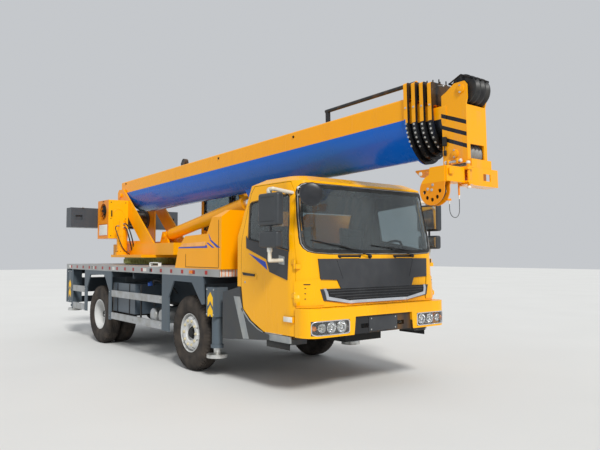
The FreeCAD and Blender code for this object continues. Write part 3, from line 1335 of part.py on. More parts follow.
def boom_head():
    """Fifth section with the head: two cheeks, a front plate, sheave pins and the jib box."""
    shell = boom_section(*BOOM_SECTIONS[4])[0]
    rear = value("head_rear")
    front = value("head_front")
    half = value("head_half")
    plate_thick = value("head_plate")
    profile = [(rear, -500), (rear, 235), (rear + 60, 262), (rear + 165, 330), (rear + 290, 330),
               (front + 15, 290), (front + 15, 150), (front, 100), (front, -500)]
    pieces = []
    for side in (-1, 1):
        low, high = sorted((side * (half - plate_thick), side * half))
        pieces.append(prism(profile, "XZ", low, high))
    pieces.append(block((front - 20, front), (-half + 1, half - 1), (-500, 90)))
    pieces.append(block((rear, rear + 15), (-half + 1, half - 1), (-490, 200)))
    for along, up in SHEAVES.values():
        pieces.append(Part.makeCylinder(value("sheave_pin_radius"), 2 * half + 40,
                                        Vector(along, -half - 20, up), Vector(0, 1, 0)))
    jib_front = value("jib_front")
    bottom = value("jib_bottom")
    top = bottom + value("jib_height")
    tube = block((jib_front - 150, jib_front), (-215, 255), (bottom, top))
    tube = tube.cut(block((jib_front - 138, jib_front - 12), (-230, 270), (bottom + 12, top - 12)))
    tube = tube.cut(block((jib_front - 30, jib_front + 10), (5, 125), (bottom + 55, top - 55)))
    pieces.append(tube)
    pieces.append(block((front - 20, jib_front - 10), (-half, half), (top - 2, -470)))
    pin_x = value("top_pin_along")
    pin_y = -value("top_pin_y")
    for low, high in ((bottom, bottom + 14), (top - 14, top)):
        pieces.append(block((jib_front - 60, pin_x + 22), (pin_y - 24, -200), (low, high)))
    pieces.append(Part.makeCylinder(value("top_pin_radius"), value("jib_height") + 40,
                                    Vector(pin_x, pin_y, bottom - 20)))
    pieces.append(prism([(rear + 20, -490), (rear - 470, -478), (rear - 470, -492), (rear - 400, -560),
                         (rear - 350, -505), (rear + 20, -500)], "XZ", -55, 55))
    window = block((front - 30, front + 10), (-115, 115), (-460, -310))
    return shell.fuse(pieces).cut(window)


# Sheaves: place along the boom, place above its axis
SHEAVES = {"top": (8285, 255), "lower": (8190, -395)}

publish("boom_1", on_boom(shaped("BoomBase", boom_base())))
for number, rear, rise in BOOM_SECTIONS[1:4]:
    publish(f"boom_{number}", on_boom(shaped(
        f"BoomSection{number}", Part.makeCompound(boom_section(number, rear, rise)))))
publish("boom_5", on_boom(shaped("BoomHead", boom_head())))


def sheave_pack(name, radius, low, high, bore, along, up, grooves):
    """Grooved wheels side by side on one pin, from low to high across the boom."""
    pitch = (high - low) / grooves
    profile = [(bore, low)]
    for groove in range(grooves):
        start = low + groove * pitch
        profile += [(radius, start), (radius, start + pitch * 0.12), (radius - 22, start + pitch * 0.5),
                    (radius, start + pitch * 0.88)]
    profile += [(radius, high), (bore, high)]
    points = [Vector(along + r, y, up) for r, y in profile]
    face = Part.Face(Part.makePolygon(points + points[:1]))
    return shaped(name, face.revolve(Vector(along, 0, up), Vector(0, 1, 0), 360))


for place, (along, up) in SHEAVES.items():
    radius = "sheave_radius" if place == "top" else "sheave_radius - 30"
    publish(f"{place}_sheaves", on_boom(sheave_pack(
        place.title() + "Sheaves", value(radius), -value("sheave_width") / 2, value("sheave_width") / 2,
        value("sheave_pin_radius + running_gap"), along, up, 3 if place == "top" else 4)))


# Cable of the hoist limit switch: a short loop under the single top, from a clip to a plug.
# Columns: place across the boom, height above the boom's axis.
CABLE_ALONG = 8335
CABLE_ROUTE = [(-466, -905), (-469, -958), (-465, -1010), (-445, -1045), (-410, -1065), (-370, -1065),
               (-335, -1045), (-315, -1010), (-311, -932), (-313, -848)]


# Single top: a swinging arm with its own sheave, folded against the head's right side
SINGLE_SHEAVE = (8222, -796)
SINGLE_Y = (-585, -495)


def single_top():
    pin_x = value("top_pin_along")
    pin_y = -value("top_pin_y")
    bottom = value("jib_bottom")
    top = bottom + value("jib_height")
    front = value("jib_front")
    gap = value("running_gap")
    arm = block((front - 130, front), (-575, pin_y - 38), (bottom + 15, top - 15))
    ears = [block((front - 60, pin_x + 22), (pin_y - 40, pin_y + 22), (low, high))
            for low, high in ((bottom + 14 + gap, bottom + 34), (top - 34, top - 14 - gap))]
    bore = Part.makeCylinder(value("top_pin_radius") + gap, 400, Vector(pin_x, pin_y, bottom - 100))
    x, z = SINGLE_SHEAVE
    cheeks = []
    for low, high in ((SINGLE_Y[0], SINGLE_Y[0] + 12), (SINGLE_Y[1] - 12, SINGLE_Y[1])):
        disc = Part.makeCylinder(150, high - low, Vector(x, low, z), Vector(0, 1, 0))
        web = prism([(x - 60, z + 20), (x - 20, top - 15), (front - 20, top - 15), (front - 20, bottom + 15),
                     (x + 140, z - 20)], "XZ", low, high)
        cheek = disc.fuse(web)
        for step in range(5):
            turn = math.radians(190 + step * 40)
            spot = Vector(x + 95 * math.cos(turn), low - 1, z + 95 * math.sin(turn))
            cheek = cheek.cut(Part.makeCylinder(20, 20, spot, Vector(0, 1, 0)))
        cheeks.append(cheek)
    pin = Part.makeCylinder(20, SINGLE_Y[1] - SINGLE_Y[0], Vector(x, SINGLE_Y[0], z), Vector(0, 1, 0))
    start, end = CABLE_ROUTE[0], CABLE_ROUTE[-1]
    clip = block((CABLE_ALONG - 17, CABLE_ALONG + 12), (SINGLE_Y[1] - 12, start[0] + 14), (start[1], start[1] + 20))
    plug = Part.makeCylinder(9, bottom + 16 - end[1], Vector(CABLE_ALONG, end[0], end[1]))
    return arm.fuse(ears + cheeks + [pin, clip, plug]).cut(bore)


publish("single_top", on_boom(shaped("SingleTop", single_top().cut(Part.makeCylinder(
    value("single_sheave_radius") + 7, 66, Vector(SINGLE_SHEAVE[0], -573, SINGLE_SHEAVE[1]),
    Vector(0, 1, 0)).cut(Part.makeCylinder(20, 66, Vector(SINGLE_SHEAVE[0], -573, SINGLE_SHEAVE[1]),
                                           Vector(0, 1, 0)))))))
publish("single_sheave", on_boom(sheave_pack(
    "SingleSheave", value("single_sheave_radius"), -565, -515, 20 + value("running_gap"), *SINGLE_SHEAVE, 1)))


# Lift cylinder, drawn along X from its lower pin and then turned to reach the upper one.
# The rod's eye is a saddle that the boom's pin rests in: solid between these directions.
EYE_FROM = 205
EYE_TO = 355


def lift_reach():
    """Upper pin as seen from the lower one, in the crane's axes."""
    tilt = math.radians(value("boom_tilt"))
    along = value("lift_eye_along")
    down = value("lift_eye_down")
    x = value("pivot_x") + along * math.cos(tilt) - down * math.sin(tilt) - value("lift_foot_x")
    z = value("pivot_z") + along * math.sin(tilt) + down * math.cos(tilt) - value("lift_foot_z")
    return x, z


def lift_cylinder():
    x, z = lift_reach()
    reach = math.hypot(x, z)
    gap = value("running_gap")
    tube_radius = value("lift_tube_radius")
    rod_radius = value("lift_rod_radius")
    mouth = value("lift_tube_length")
    pin = value("lift_pin_radius")
    along = Vector(1, 0, 0)
    barrel = Part.makeCylinder(tube_radius, mouth - 150, Vector(150, 0, 0), along)
    barrel = barrel.fuse([Part.makeCylinder(85, 104, Vector(0, -52, 0), Vector(0, 1, 0)),
                          block((0, 170), (-52, 52), (-60, 60)),
                          Part.makeCylinder(tube_radius + 12, 90, Vector(mouth - 90, 0, 0), along)])
    barrel = barrel.cut(Part.makeCylinder(tube_radius - 22, mouth - 320, Vector(200, 0, 0), along))
    barrel = barrel.cut(Part.makeCylinder(rod_radius + gap, 400, Vector(mouth - 300, 0, 0), along))
    barrel = barrel.cut(Part.makeCylinder(pin + gap, 200, Vector(0, -100, 0), Vector(0, 1, 0)))
    shaft = Part.makeCylinder(rod_radius, reach - 300, Vector(240, 0, 0), along)
    eye = Part.makeCylinder(78, 140, Vector(reach, -70, 0), Vector(0, 1, 0))
    shaft = shaft.fuse([Part.makeCylinder(tube_radius - 22 - gap, 120, Vector(240, 0, 0), along), eye])
    shaft = shaft.cut(Part.makeCylinder(pin + gap, 200, Vector(reach, -100, 0), Vector(0, 1, 0)))
    shaft = shaft.cut(prism([
        (reach, 0), (reach + 140 * math.cos(math.radians(EYE_FROM)), 140 * math.sin(math.radians(EYE_FROM))),
        (reach - 140, 140), (reach + 140, 140),
        (reach + 140 * math.cos(math.radians(EYE_TO)), 140 * math.sin(math.radians(EYE_TO)))],
        "XZ", -100, 100))
    slope = math.degrees(math.atan2(z, x))
    pieces = []
    for name, shape in (("LiftBarrel", barrel), ("LiftRod", shaft)):
        piece = shaped(name, shape)
        piece.Placement = Placement(Vector(), Rotation(Vector(0, -1, 0), slope))
        pieces.append(put(piece, "lift_foot_x", "0", "lift_foot_z"))
    return pieces


barrel, shaft = lift_cylinder()
publish("lift_barrel", barrel)
publish("lift_rod", shaft)


# Cable of the limit switch, hung between the clip and the plug
def rounded_path(points):
    """Straight runs joined by tangent arcs, each as large as its two runs allow."""
    edges = []
    here = points[0]
    radii = []
    for before, corner, after in zip(points, points[1:], points[2:]):
        back = (before - corner)
        ahead = (after - corner)
        turn = math.pi - back.getAngle(ahead)
        shorter = min(back.Length, ahead.Length)
        radius = 0.45 * shorter / math.tan(turn / 2)
        radii.append(round(radius))
        back.normalize()
        ahead.normalize()
        start = corner + back * (0.45 * shorter)
        end = corner + ahead * (0.45 * shorter)
        toward = back + ahead
        toward.normalize()
        middle = corner + toward * (radius / math.cos(turn / 2) - radius)
        edges.append(Part.makeLine(here, start))
        edges.append(Part.Arc(start, middle, end).toShape())
        here = end
    edges.append(Part.makeLine(here, points[-1]))
    print("cable radii", radii)
    return Part.Wire(edges)


def switch_cable():
    points = [Vector(CABLE_ALONG, y, z) for y, z in CABLE_ROUTE]
    path = rounded_path(points)
    radius = value("cable_radius")
    ring = Part.Wire([Part.makeCircle(radius, points[0], points[1] - points[0])])
    tube = path.makePipeShell([ring], True, False)
    print("cable volume", round(tube.Volume), "length times section",
          round(path.Length * math.pi * radius ** 2))
    return tube


publish("switch_cable", on_boom(shaped("SwitchCable", switch_cable())))

document.recompute()
for thing in document.Objects:
    if "Invalid" in thing.State or "Error" in thing.State:
        raise RuntimeError(f"{thing.Name}: {thing.State}")
os.makedirs("parts", exist_ok=True)
for label, thing in parts.items():
    shape = thing.Shape
    if shape.isNull() or not shape.isValid() or not shape.Solids:
        raise RuntimeError(f"{label}: no valid solid")
    shape.exportStep(f"parts/{label}.step")
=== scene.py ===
"""Looks of a two-axle truck crane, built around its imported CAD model. Metres, +X forward, +Z up."""

import json
import math
import random

import bpy
from mathutils import Matrix, Vector

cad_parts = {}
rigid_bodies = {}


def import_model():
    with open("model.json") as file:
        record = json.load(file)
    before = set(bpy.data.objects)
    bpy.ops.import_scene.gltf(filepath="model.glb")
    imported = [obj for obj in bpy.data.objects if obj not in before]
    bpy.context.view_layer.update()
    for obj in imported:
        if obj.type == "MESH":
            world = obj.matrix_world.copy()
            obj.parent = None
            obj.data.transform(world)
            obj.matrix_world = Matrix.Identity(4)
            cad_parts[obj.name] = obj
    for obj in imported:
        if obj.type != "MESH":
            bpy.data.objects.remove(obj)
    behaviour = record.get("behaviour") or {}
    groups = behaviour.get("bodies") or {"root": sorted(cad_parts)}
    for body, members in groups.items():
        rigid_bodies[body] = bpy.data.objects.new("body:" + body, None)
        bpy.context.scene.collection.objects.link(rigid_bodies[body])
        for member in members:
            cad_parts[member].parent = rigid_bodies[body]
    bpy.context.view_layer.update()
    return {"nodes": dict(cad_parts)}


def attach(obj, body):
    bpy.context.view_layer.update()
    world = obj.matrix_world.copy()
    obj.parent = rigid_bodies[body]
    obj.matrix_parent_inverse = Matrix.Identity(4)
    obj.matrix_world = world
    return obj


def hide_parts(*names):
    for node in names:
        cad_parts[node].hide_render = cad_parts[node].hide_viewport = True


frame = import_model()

# Camera: where the photographer stood, low and close at the right front corner, with a
# short lens that makes the cab large and the deck run away from it.


def fresh():
    """Back to object mode with nothing selected, as every new piece starts."""
    if bpy.context.object and bpy.context.object.mode != "OBJECT":
        bpy.ops.object.mode_set(mode="OBJECT")
    bpy.ops.object.select_all(action="DESELECT")


fresh()
bpy.ops.object.camera_add(
    location=(8.268, -5.247, 1.597), rotation=(math.radians(92.749), 0, math.radians(51.532)))
camera = bpy.context.object
camera.name = "photo_camera"
camera.data.lens = 36.68
camera.data.sensor_width = 36
bpy.context.scene.camera = camera

# Cable of the hoist limit switch: a short loop of grey PVC flex under the single top, from
# its clip to its plug, with a moulded strain relief where it leaves each.


def linear(code):
    """A #RRGGBB colour as Blender's linear numbers."""
    values = [int(code[i:i + 2], 16) / 255 for i in (1, 3, 5)]
    return [v / 12.92 if v <= 0.04045 else ((v + 0.055) / 1.055) ** 2.4 for v in values] + [1.0]


def wire(material, target, links):
    """Set a node's inputs: a number, a #RRGGBB colour, a socket, or a node's first output."""
    for name, value in links.items():
        if isinstance(value, bpy.types.Node):
            value = value.outputs[0]
        if isinstance(value, bpy.types.NodeSocket):
            material.node_tree.links.new(value, target.inputs[name])
        else:
            target.inputs[name].default_value = linear(value) if isinstance(value, str) else value


def node(material, kind, links=None, **settings):
    """Add one shader node with its settings and links."""
    made = material.node_tree.nodes.new("ShaderNode" + kind)
    for name, value in settings.items():
        setattr(made, name, value)
    wire(material, made, links or {})
    return made


def begin(name):
    """A new material with its surface shader and the object's own coordinates."""
    material = bpy.data.materials.new(name)
    material.use_nodes = True
    place = node(material, "TexCoord").outputs["Object"]
    return material, material.node_tree.nodes["Principled BSDF"], place


def moulded(name, colour, worn, grain=900, roughness=0.5, drift=7.0):
    """Moulded plastic or rubber: fine grain from the mould, and paler where it has weathered."""
    material, surface, place = begin(name)
    patches = node(material, "TexNoise", {"Vector": place, "Scale": drift, "Detail": 4.0})
    tone = node(material, "MapRange", {"Value": patches, "From Min": 0.42, "From Max": 0.72})
    fine = node(material, "TexNoise", {"Vector": place, "Scale": grain, "Detail": 2.0})
    matt = node(material, "MapRange", {
        "Value": patches, "To Min": roughness - 0.07, "To Max": roughness + 0.12})
    wire(material, surface, {
        "Base Color": node(material, "MixRGB", {"Fac": tone, "Color1": colour, "Color2": worn}),
        "Roughness": matt, "Specular IOR Level": 0.4,
        "Normal": node(material, "Bump", {"Height": fine, "Strength": 0.25, "Distance": 0.0004})})
    return material


def dress(piece, name, material, body, angle=35, place=None):
    """Name a finished piece, lay it where it belongs, smooth it, paint it and let it ride."""
    fresh()
    if place is not None:
        piece.data.transform(place)
    piece.name = piece.data.name = name
    piece.data.materials.clear()
    piece.data.materials.append(material)
    if piece.type == "MESH":
        bpy.context.view_layer.objects.active = piece
        piece.select_set(True)
        bpy.ops.object.shade_smooth_by_angle(angle=math.radians(angle))
        piece.select_set(False)
    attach(piece, body)
    return piece


def lathe(profile, start, along, steps=32):
    """Turn a profile of (radius, distance) round the line from start in direction along."""
    fresh()
    axis = Vector(along).normalized()
    side = axis.orthogonal().normalized()
    start = Vector(start)
    points = [start + side * radius + axis * far for radius, far in profile]
    mesh = bpy.data.meshes.new("turned")
    mesh.from_pydata(points, [(i, i + 1) for i in range(len(points) - 1)], [])
    piece = bpy.data.objects.new("turned", mesh)
    bpy.context.scene.collection.objects.link(piece)
    bpy.context.view_layer.objects.active = piece
    piece.select_set(True)
    bpy.ops.object.mode_set(mode="EDIT")
    bpy.ops.mesh.select_all(action="SELECT")
    bpy.ops.mesh.spin(steps=steps, angle=math.tau, center=start, axis=axis)
    bpy.ops.mesh.select_all(action="SELECT")
    bpy.ops.mesh.remove_doubles(threshold=0.00002)
    bpy.ops.mesh.normals_make_consistent(inside=False)
    bpy.ops.object.mode_set(mode="OBJECT")
    return piece


# PVC: a soft plasticised grey sheath with a satin gloss and a little dust on it.
flex_pvc = moulded("grey_pvc_flex", "#565A5E", "#7A7C7C", grain=1400, roughness=0.42, drift=60.0)
gland_nylon = moulded("white_nylon_gland", "#E4E3DC", "#CFCDC2", roughness=0.4)

cable_route = [
    (4.5658, -0.466, 2.1135), (4.5672, -0.469, 2.0605), (4.5686, -0.465, 2.0085),
    (4.5695, -0.445, 1.9735), (4.5700, -0.410, 1.9536), (4.5700, -0.370, 1.9536),
    (4.5695, -0.335, 1.9735), (4.5686, -0.315, 2.0085), (4.5665, -0.311, 2.0865),
    (4.5643, -0.313, 2.1705)]
fresh()
cable_curve = bpy.data.curves.new("switch_cable_line", "CURVE")
cable_curve.dimensions = "3D"
spline = cable_curve.splines.new("NURBS")
spline.points.add(len(cable_route) - 1)
for point, place in zip(spline.points, cable_route):
    point.co = (*place, 1)
spline.order_u = 3
spline.use_endpoint_u = True
cable_curve.bevel_depth = 0.004
cable_curve.bevel_resolution = 3
cable_curve.use_fill_caps = True
switch_flex = bpy.data.objects.new("switch_flex", cable_curve)
bpy.context.scene.collection.objects.link(switch_flex)
cable_curve.materials.append(flex_pvc)
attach(switch_flex, "swing_arm")
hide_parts("switch_cable")
for number, (at, down) in enumerate(((cable_route[0], (0.026, -0.057, -1)), (cable_route[-1], (0.026, 0.024, -1)))):
    relief = lathe([
        (0.0, -0.004), (0.0095, -0.004), (0.0105, 0.0), (0.0095, 0.004), (0.0082, 0.006), (0.0086, 0.012),
        (0.0066, 0.014), (0.0072, 0.019), (0.0052, 0.022), (0.0058, 0.027), (0.0044, 0.032), (0.0041, 0.034)],
        at, down, 20)
    dress(relief, f"cable_relief_{number + 1}", gland_nylon, "swing_arm")

# Boom: four sheets of high-strength steel folded and welded to a U, sprayed in glossy
# enamel, yellow above the middle and blue below it.


def enamel(material, surface, place, colour, film, roughness, coat=0.15, peel=220):
    """Sprayed two-pack enamel: even gloss, faint orange peel, road film in patches and runs."""
    broad = node(material, "TexNoise", {"Vector": place, "Scale": 1.1, "Detail": 5.0, "Roughness": 0.6})
    runs = node(material, "TexNoise", {
        "Vector": node(material, "Mapping", {"Vector": place, "Scale": (9.0, 9.0, 0.9)}),
        "Scale": 1.0, "Detail": 4.0})
    film_mask = node(material, "Math", {0: broad, 1: runs}, operation="MULTIPLY")
    dust = node(material, "MapRange", {
        "Value": film_mask, "From Min": 0.24, "From Max": 0.52, "To Min": 0.0, "To Max": 0.22})
    skin = node(material, "TexNoise", {"Vector": place, "Scale": float(peel), "Detail": 1.0})
    wire(material, surface, {
        "Base Color": node(material, "MixRGB", {"Fac": dust, "Color1": colour, "Color2": film}),
        "Roughness": node(material, "MapRange", {
            "Value": film_mask, "From Min": 0.2, "From Max": 0.5, "To Min": roughness,
            "To Max": roughness + 0.22}),
        "Coat Weight": coat, "Coat Roughness": 0.06, "Specular IOR Level": 0.22,
        "Normal": node(material, "Bump", {"Height": skin, "Strength": 0.12, "Distance": 0.0006})})


def painted(name, colour, film, roughness=0.3, coat=0.15, peel=220):
    """One colour of enamel all over."""
    material, surface, place = begin(name)
    tint = node(material, "TexNoise", {"Vector": place, "Scale": 2.3, "Detail": 2.0})
    deeper = tuple(v * 0.93 for v in linear(colour)[:3]) + (1.0,)
    enamel(material, surface, place,
           node(material, "MixRGB", {"Fac": tint, "Color1": colour, "Color2": deeper}), film, roughness, coat, peel)
    return material


def above(material, value, limit):
    """1 where a value is over a limit, else 0."""
    return node(material, "Math", {0: value, 1: limit}, operation="GREATER_THAN")


def coat(material, *names):
    """Give CAD nodes their finish."""
    for name in names:
        mesh = frame["nodes"][name].data
        mesh.materials.clear()
        mesh.materials.append(material)


BOOM_PIVOT = (-3.79, 0.0, 2.8)
BOOM_TILT = math.radians(-1.5)
RAISED = Matrix.Translation(BOOM_PIVOT) @ Matrix.Rotation(BOOM_TILT, 4, "Y")
YELLOW = "#FDAB00"
YELLOW_FILM = "#D9931C"
BLUE = "#0060C6"

# Boom enamel: in the boom's own axes, yellow over blue, black under the collars, the collars'
# end faces near-black for their dark fittings and as painted shade, the head's lowest plates a
# deeper orange as painted shade, and three slanted black bands taped and sprayed on the head's cheeks.
boom_enamel, boom_surface, boom_place = begin("boom_two_colour_enamel")
boom_axes = node(boom_enamel, "SeparateXYZ", {0: node(
    boom_enamel, "Mapping", {"Vector": boom_place, "Location": BOOM_PIVOT, "Rotation": (0, BOOM_TILT, 0)},
    vector_type="TEXTURE")})
along, across, up = boom_axes.outputs
is_collar = above(boom_enamel, along, 7.69)
is_head = above(boom_enamel, along, 8.036)
is_upper = above(boom_enamel, up, 0.040)
tube_colour = node(boom_enamel, "MixRGB", {"Fac": is_upper, "Color1": BLUE, "Color2": YELLOW})
is_fitting = node(boom_enamel, "Math", {
    0: above(boom_enamel, up, 0.279), 1: above(boom_enamel, 7.66, along)}, operation="MULTIPLY")
tube_colour = node(boom_enamel, "MixRGB", {"Fac": is_fitting, "Color1": tube_colour, "Color2": "#23262A"})
boom_normal = node(boom_enamel, "SeparateXYZ", {
    0: boom_enamel.node_tree.nodes["Texture Coordinate"].outputs["Normal"]}).outputs
# On the collars the lower half is black, and the faces along the boom are near-black: partly dark fittings, partly
# painted shade between the collars.
is_rim = node(boom_enamel, "Math", {
    0: above(boom_enamel, up, -0.004),
    1: above(boom_enamel, 0.7, node(boom_enamel, "Math", {0: boom_normal[0]}, operation="ABSOLUTE"))},
    operation="MULTIPLY")
collar_black_and_shade = node(boom_enamel, "MixRGB", {"Fac": is_rim, "Color1": "#1B1C1E", "Color2": YELLOW})
slant = node(boom_enamel, "Math", {0: along, 1: 0.40, 2: up}, operation="MULTIPLY_ADD")
band_count = node(boom_enamel, "Math", {
    0: node(boom_enamel, "Math", {0: 0.040 + 0.40 * 8.06, 1: slant}, operation="SUBTRACT"), 1: 0.121},
    operation="DIVIDE")
in_band = node(boom_enamel, "Math", {
    0: above(boom_enamel, 0.36, node(boom_enamel, "Math", {0: band_count}, operation="FRACT")),
    1: above(boom_enamel, band_count, 0.0)}, operation="MULTIPLY")
in_band = node(boom_enamel, "Math", {0: in_band, 1: above(boom_enamel, 3.0, band_count)}, operation="MULTIPLY")
on_cheek = above(boom_enamel, node(boom_enamel, "Math", {0: across}, operation="ABSOLUTE"), 0.1645)
in_band = node(boom_enamel, "Math", {0: in_band, 1: on_cheek}, operation="MULTIPLY")
in_band = node(boom_enamel, "Math", {0: in_band, 1: above(boom_enamel, 8.3405, along)}, operation="MULTIPLY")
head_colour = node(boom_enamel, "MixRGB", {"Fac": in_band, "Color1": YELLOW, "Color2": "#1A1A1B"})
boom_colour = node(boom_enamel, "MixRGB", {"Fac": is_collar, "Color1": tube_colour, "Color2": collar_black_and_shade})
boom_colour = node(boom_enamel, "MixRGB", {"Fac": is_head, "Color1": boom_colour, "Color2": head_colour})
# The head's plates below the sheaves are painted a deeper orange than the yellow: painted shade under the head.
boom_colour = node(boom_enamel, "MixRGB", {
    "Fac": node(boom_enamel, "Math", {0: above(boom_enamel, -0.450, up), 1: above(boom_enamel, 8.030, along)},
                operation="MULTIPLY"), "Color1": boom_colour, "Color2": "#EE8E04"})
boom_film = node(boom_enamel, "MixRGB", {"Fac": is_upper, "Color1": "#2B5FAC", "Color2": YELLOW_FILM})
enamel(boom_enamel, boom_surface, boom_place, boom_colour, boom_film, 0.20, coat=0.3)
coat(boom_enamel, "boom_1", "boom_2", "boom_3", "boom_4", "boom_5")


def bar(start, end, radius, sides=16, edge=0.1):
    """A round bar between two points, its end edges chamfered by a share of its radius."""
    fresh()
    start, end = Vector(start), Vector(end)
    line = end - start
    bpy.ops.mesh.primitive_cylinder_add(
        vertices=sides, radius=radius, depth=line.length, location=(start + end) / 2,
        rotation=line.to_track_quat("Z", "Y").to_euler())
    piece = bpy.context.object
    bpy.ops.object.transform_apply(location=True, rotation=True, scale=True)
    if edge:
        for polygon in piece.data.polygons:
            polygon.select = polygon.area > 0 and len(polygon.vertices) == sides
        bpy.ops.object.mode_set(mode="EDIT")
        bpy.ops.mesh.select_mode(type="FACE")
        bpy.ops.mesh.inset(thickness=radius * edge, depth=radius * edge)
        bpy.ops.object.mode_set(mode="OBJECT")
    return piece


def welded(parts):
    """Several shapes as one piece."""
    fresh()
    for part in parts:
        part.select_set(True)
    bpy.context.view_layer.objects.active = parts[0]
    if len(parts) > 1:
        bpy.ops.object.join()
    bpy.ops.object.select_all(action="DESELECT")
    return parts[0]


def studs(places, radius, height, sides=6):
    """Bolt heads with washers: one is modelled, and the rest are copies of its mesh."""
    master = bar((0, 0, -0.002), (0, 0, height), radius, sides, 0.12)
    washer = bar((0, 0, -0.003), (0, 0, height * 0.22), radius * 1.45, 14, 0.05)
    master = welded([master, washer])
    made = []
    for spot, facing in places:
        copy = master.copy()
        copy.data = master.data.copy()
        turn = Vector(facing).to_track_quat("Z", "Y").to_matrix().to_4x4()
        copy.data.transform(Matrix.Translation(spot) @ turn)
        bpy.context.scene.collection.objects.link(copy)
        made.append(copy)
    bpy.data.objects.remove(master)
    return welded(made)


def plated(name, colour, tarnish, roughness=0.3, scale=14.0):
    """Plated or bare steel: full metal, with duller and darker patches where it is handled."""
    material, surface, place = begin(name)
    patches = node(material, "TexNoise", {"Vector": place, "Scale": scale, "Detail": 5.0})
    dull = node(material, "MapRange", {"Value": patches, "From Min": 0.45, "From Max": 0.75})
    fine = node(material, "TexNoise", {"Vector": place, "Scale": 800.0})
    wire(material, surface, {
        "Base Color": node(material, "MixRGB", {"Fac": dull, "Color1": colour, "Color2": tarnish}),
        "Metallic": 0.9,
        "Roughness": node(material, "MapRange", {"Value": patches, "To Min": roughness, "To Max": roughness + 0.25}),
        "Normal": node(material, "Bump", {"Height": fine, "Strength": 0.1, "Distance": 0.0003})})
    return material


# Zinc plating: a pale bright grey that dulls to a chalky bloom.
zinc = plated("zinc_plated_steel", "#D7D8D6", "#8D8A82")
black_steel = plated("blackened_steel", "#303236", "#4A4238", roughness=0.45)
boom_bolts = studs([((x, side * 0.3105, z), (0, side, 0.06)) for side in (-1, 1)
                    for x, z in ((3.794, 0.206), (5.712, 0.204), (0.159, 0.226))], 0.012, 0.010)
dress(boom_bolts, "boom_side_bolts", black_steel, "boom_base", place=RAISED)

# Collar fittings: each section ends in a collar with a row of pad bolts down each flank,
# and a threaded post and a small rod with a knob on its top.
collar_halves = (0.310, 0.275, 0.240, 0.205)
collar_bodies = ("boom_base", "boom_second", "boom_third", "boom_fourth")
yellow_paint = painted("yellow_enamel", YELLOW, YELLOW_FILM)
for number, (half, body) in enumerate(zip(collar_halves, collar_bodies)):
    half += 0.024
    split = (0.040, 0.0295, 0.019, 0.0085)[number]
    low = (-0.360, -0.325, -0.290, -0.255)[number] - 0.060
    front = 7.72 + 0.08 * number
    top = (0.435, 0.430, 0.420, 0.405)[number]
    depth = split - low
    corner = 0.7 * half
    side_radius = (half ** 2 + (depth - corner) ** 2 - corner ** 2) / (2 * (half - corner))
    spots = []
    for side in (-1, 1):
        for step in range(6):
            z = split - 0.052 - step * 0.046
            turn = math.asin((split - z) / side_radius)
            y = half - side_radius + side_radius * math.cos(turn)
            spots.append(((front - 0.025, side * y, z), (0, side * math.cos(turn), -math.sin(turn))))
        spots.append(((front - 0.025, side * half, 0.16), (0, side, 0)))
    dress(studs(spots, 0.0085, 0.009), f"collar_{number + 1}_bolts", zinc, body, place=RAISED)
    if number:
        posts = [bar((front - 0.025, y, top - 0.03), (front - 0.025, y, top + 0.055), 0.007, 10)
                 for y in (-0.06, 0.06)]
        posts += [bar((front - 0.025, y, top - 0.002), (front - 0.025, y, top + 0.012), 0.014, 6)
                  for y in (-0.06, 0.06)]
        dress(welded(posts), f"collar_{number + 1}_posts", black_steel, body, place=RAISED)
        rod = bar((front - 0.075, -0.105, top - 0.006), (front + 0.055, -0.105, top - 0.045), 0.006, 12)
        knob = bar((front + 0.05, -0.105, top - 0.043), (front + 0.074, -0.105, top - 0.051), 0.011, 14, 0.3)
        dress(welded([rod, knob]), f"collar_{number + 1}_rod", zinc, body, place=RAISED)

# Boom head: nylon sheaves between the plate cheeks, a keeper bar that holds the rope in the
# top sheaves' grooves, a through pin with white caps, a limit switch and the pins' bolts.
# Cast nylon: a waxy near-black, smooth where the rope runs and dusty between.
black_nylon = moulded("black_cast_nylon", "#1E1F21", "#3A3936", grain=500, roughness=0.38, drift=9.0)
grey_nylon = moulded("grey_cast_nylon", "#8D8F8E", "#6F6E68", grain=500, roughness=0.42, drift=9.0)
coat(black_nylon, "top_sheaves", "single_sheave")
coat(grey_nylon, "lower_sheaves")

keeper = [bar((8.400, -0.150, 0.352), (8.400, 0.150, 0.352), 0.011, 14),
          bar((8.135, -0.150, 0.345), (8.135, 0.150, 0.345), 0.011, 14)]
for side in (-1, 1):
    keeper.append(bar((8.285, side * 0.152, 0.405), (8.402, side * 0.152, 0.348), 0.008, 10))
    keeper.append(bar((8.285, side * 0.152, 0.405), (8.133, side * 0.152, 0.341), 0.008, 10))
    keeper.append(bar((8.285, side * 0.152, 0.29), (8.285, side * 0.152, 0.409), 0.008, 10))
dress(welded(keeper), "rope_keeper", black_steel, "boom_fifth", place=RAISED)

pin_caps = []
for along_boom, above_axis, size in ((8.285, 0.255, 0.036), (8.190, -0.395, 0.034)):
    for side in (-1, 1):
        start = (along_boom, side * 0.164, above_axis)
        pin_caps.append(lathe([
            (0.0, 0.024), (size * 0.5, 0.024), (size * 0.62, 0.018), (size, 0.016), (size * 1.3, 0.014),
            (size * 1.36, 0.009), (size * 1.36, -0.001)], start, (0, side, 0), 24))
dress(welded(pin_caps), "sheave_pin_caps", yellow_paint, "boom_fifth", place=RAISED)
keeper_plates = studs([((x, side * 0.181, z), (0, side, 0)) for side in (-1, 1)
                       for x, z in ((8.285, 0.222), (8.285, 0.288), (8.190, -0.43), (8.190, -0.36))], 0.008, 0.007)
dress(keeper_plates, "sheave_pin_bolts", zinc, "boom_fifth", place=RAISED)

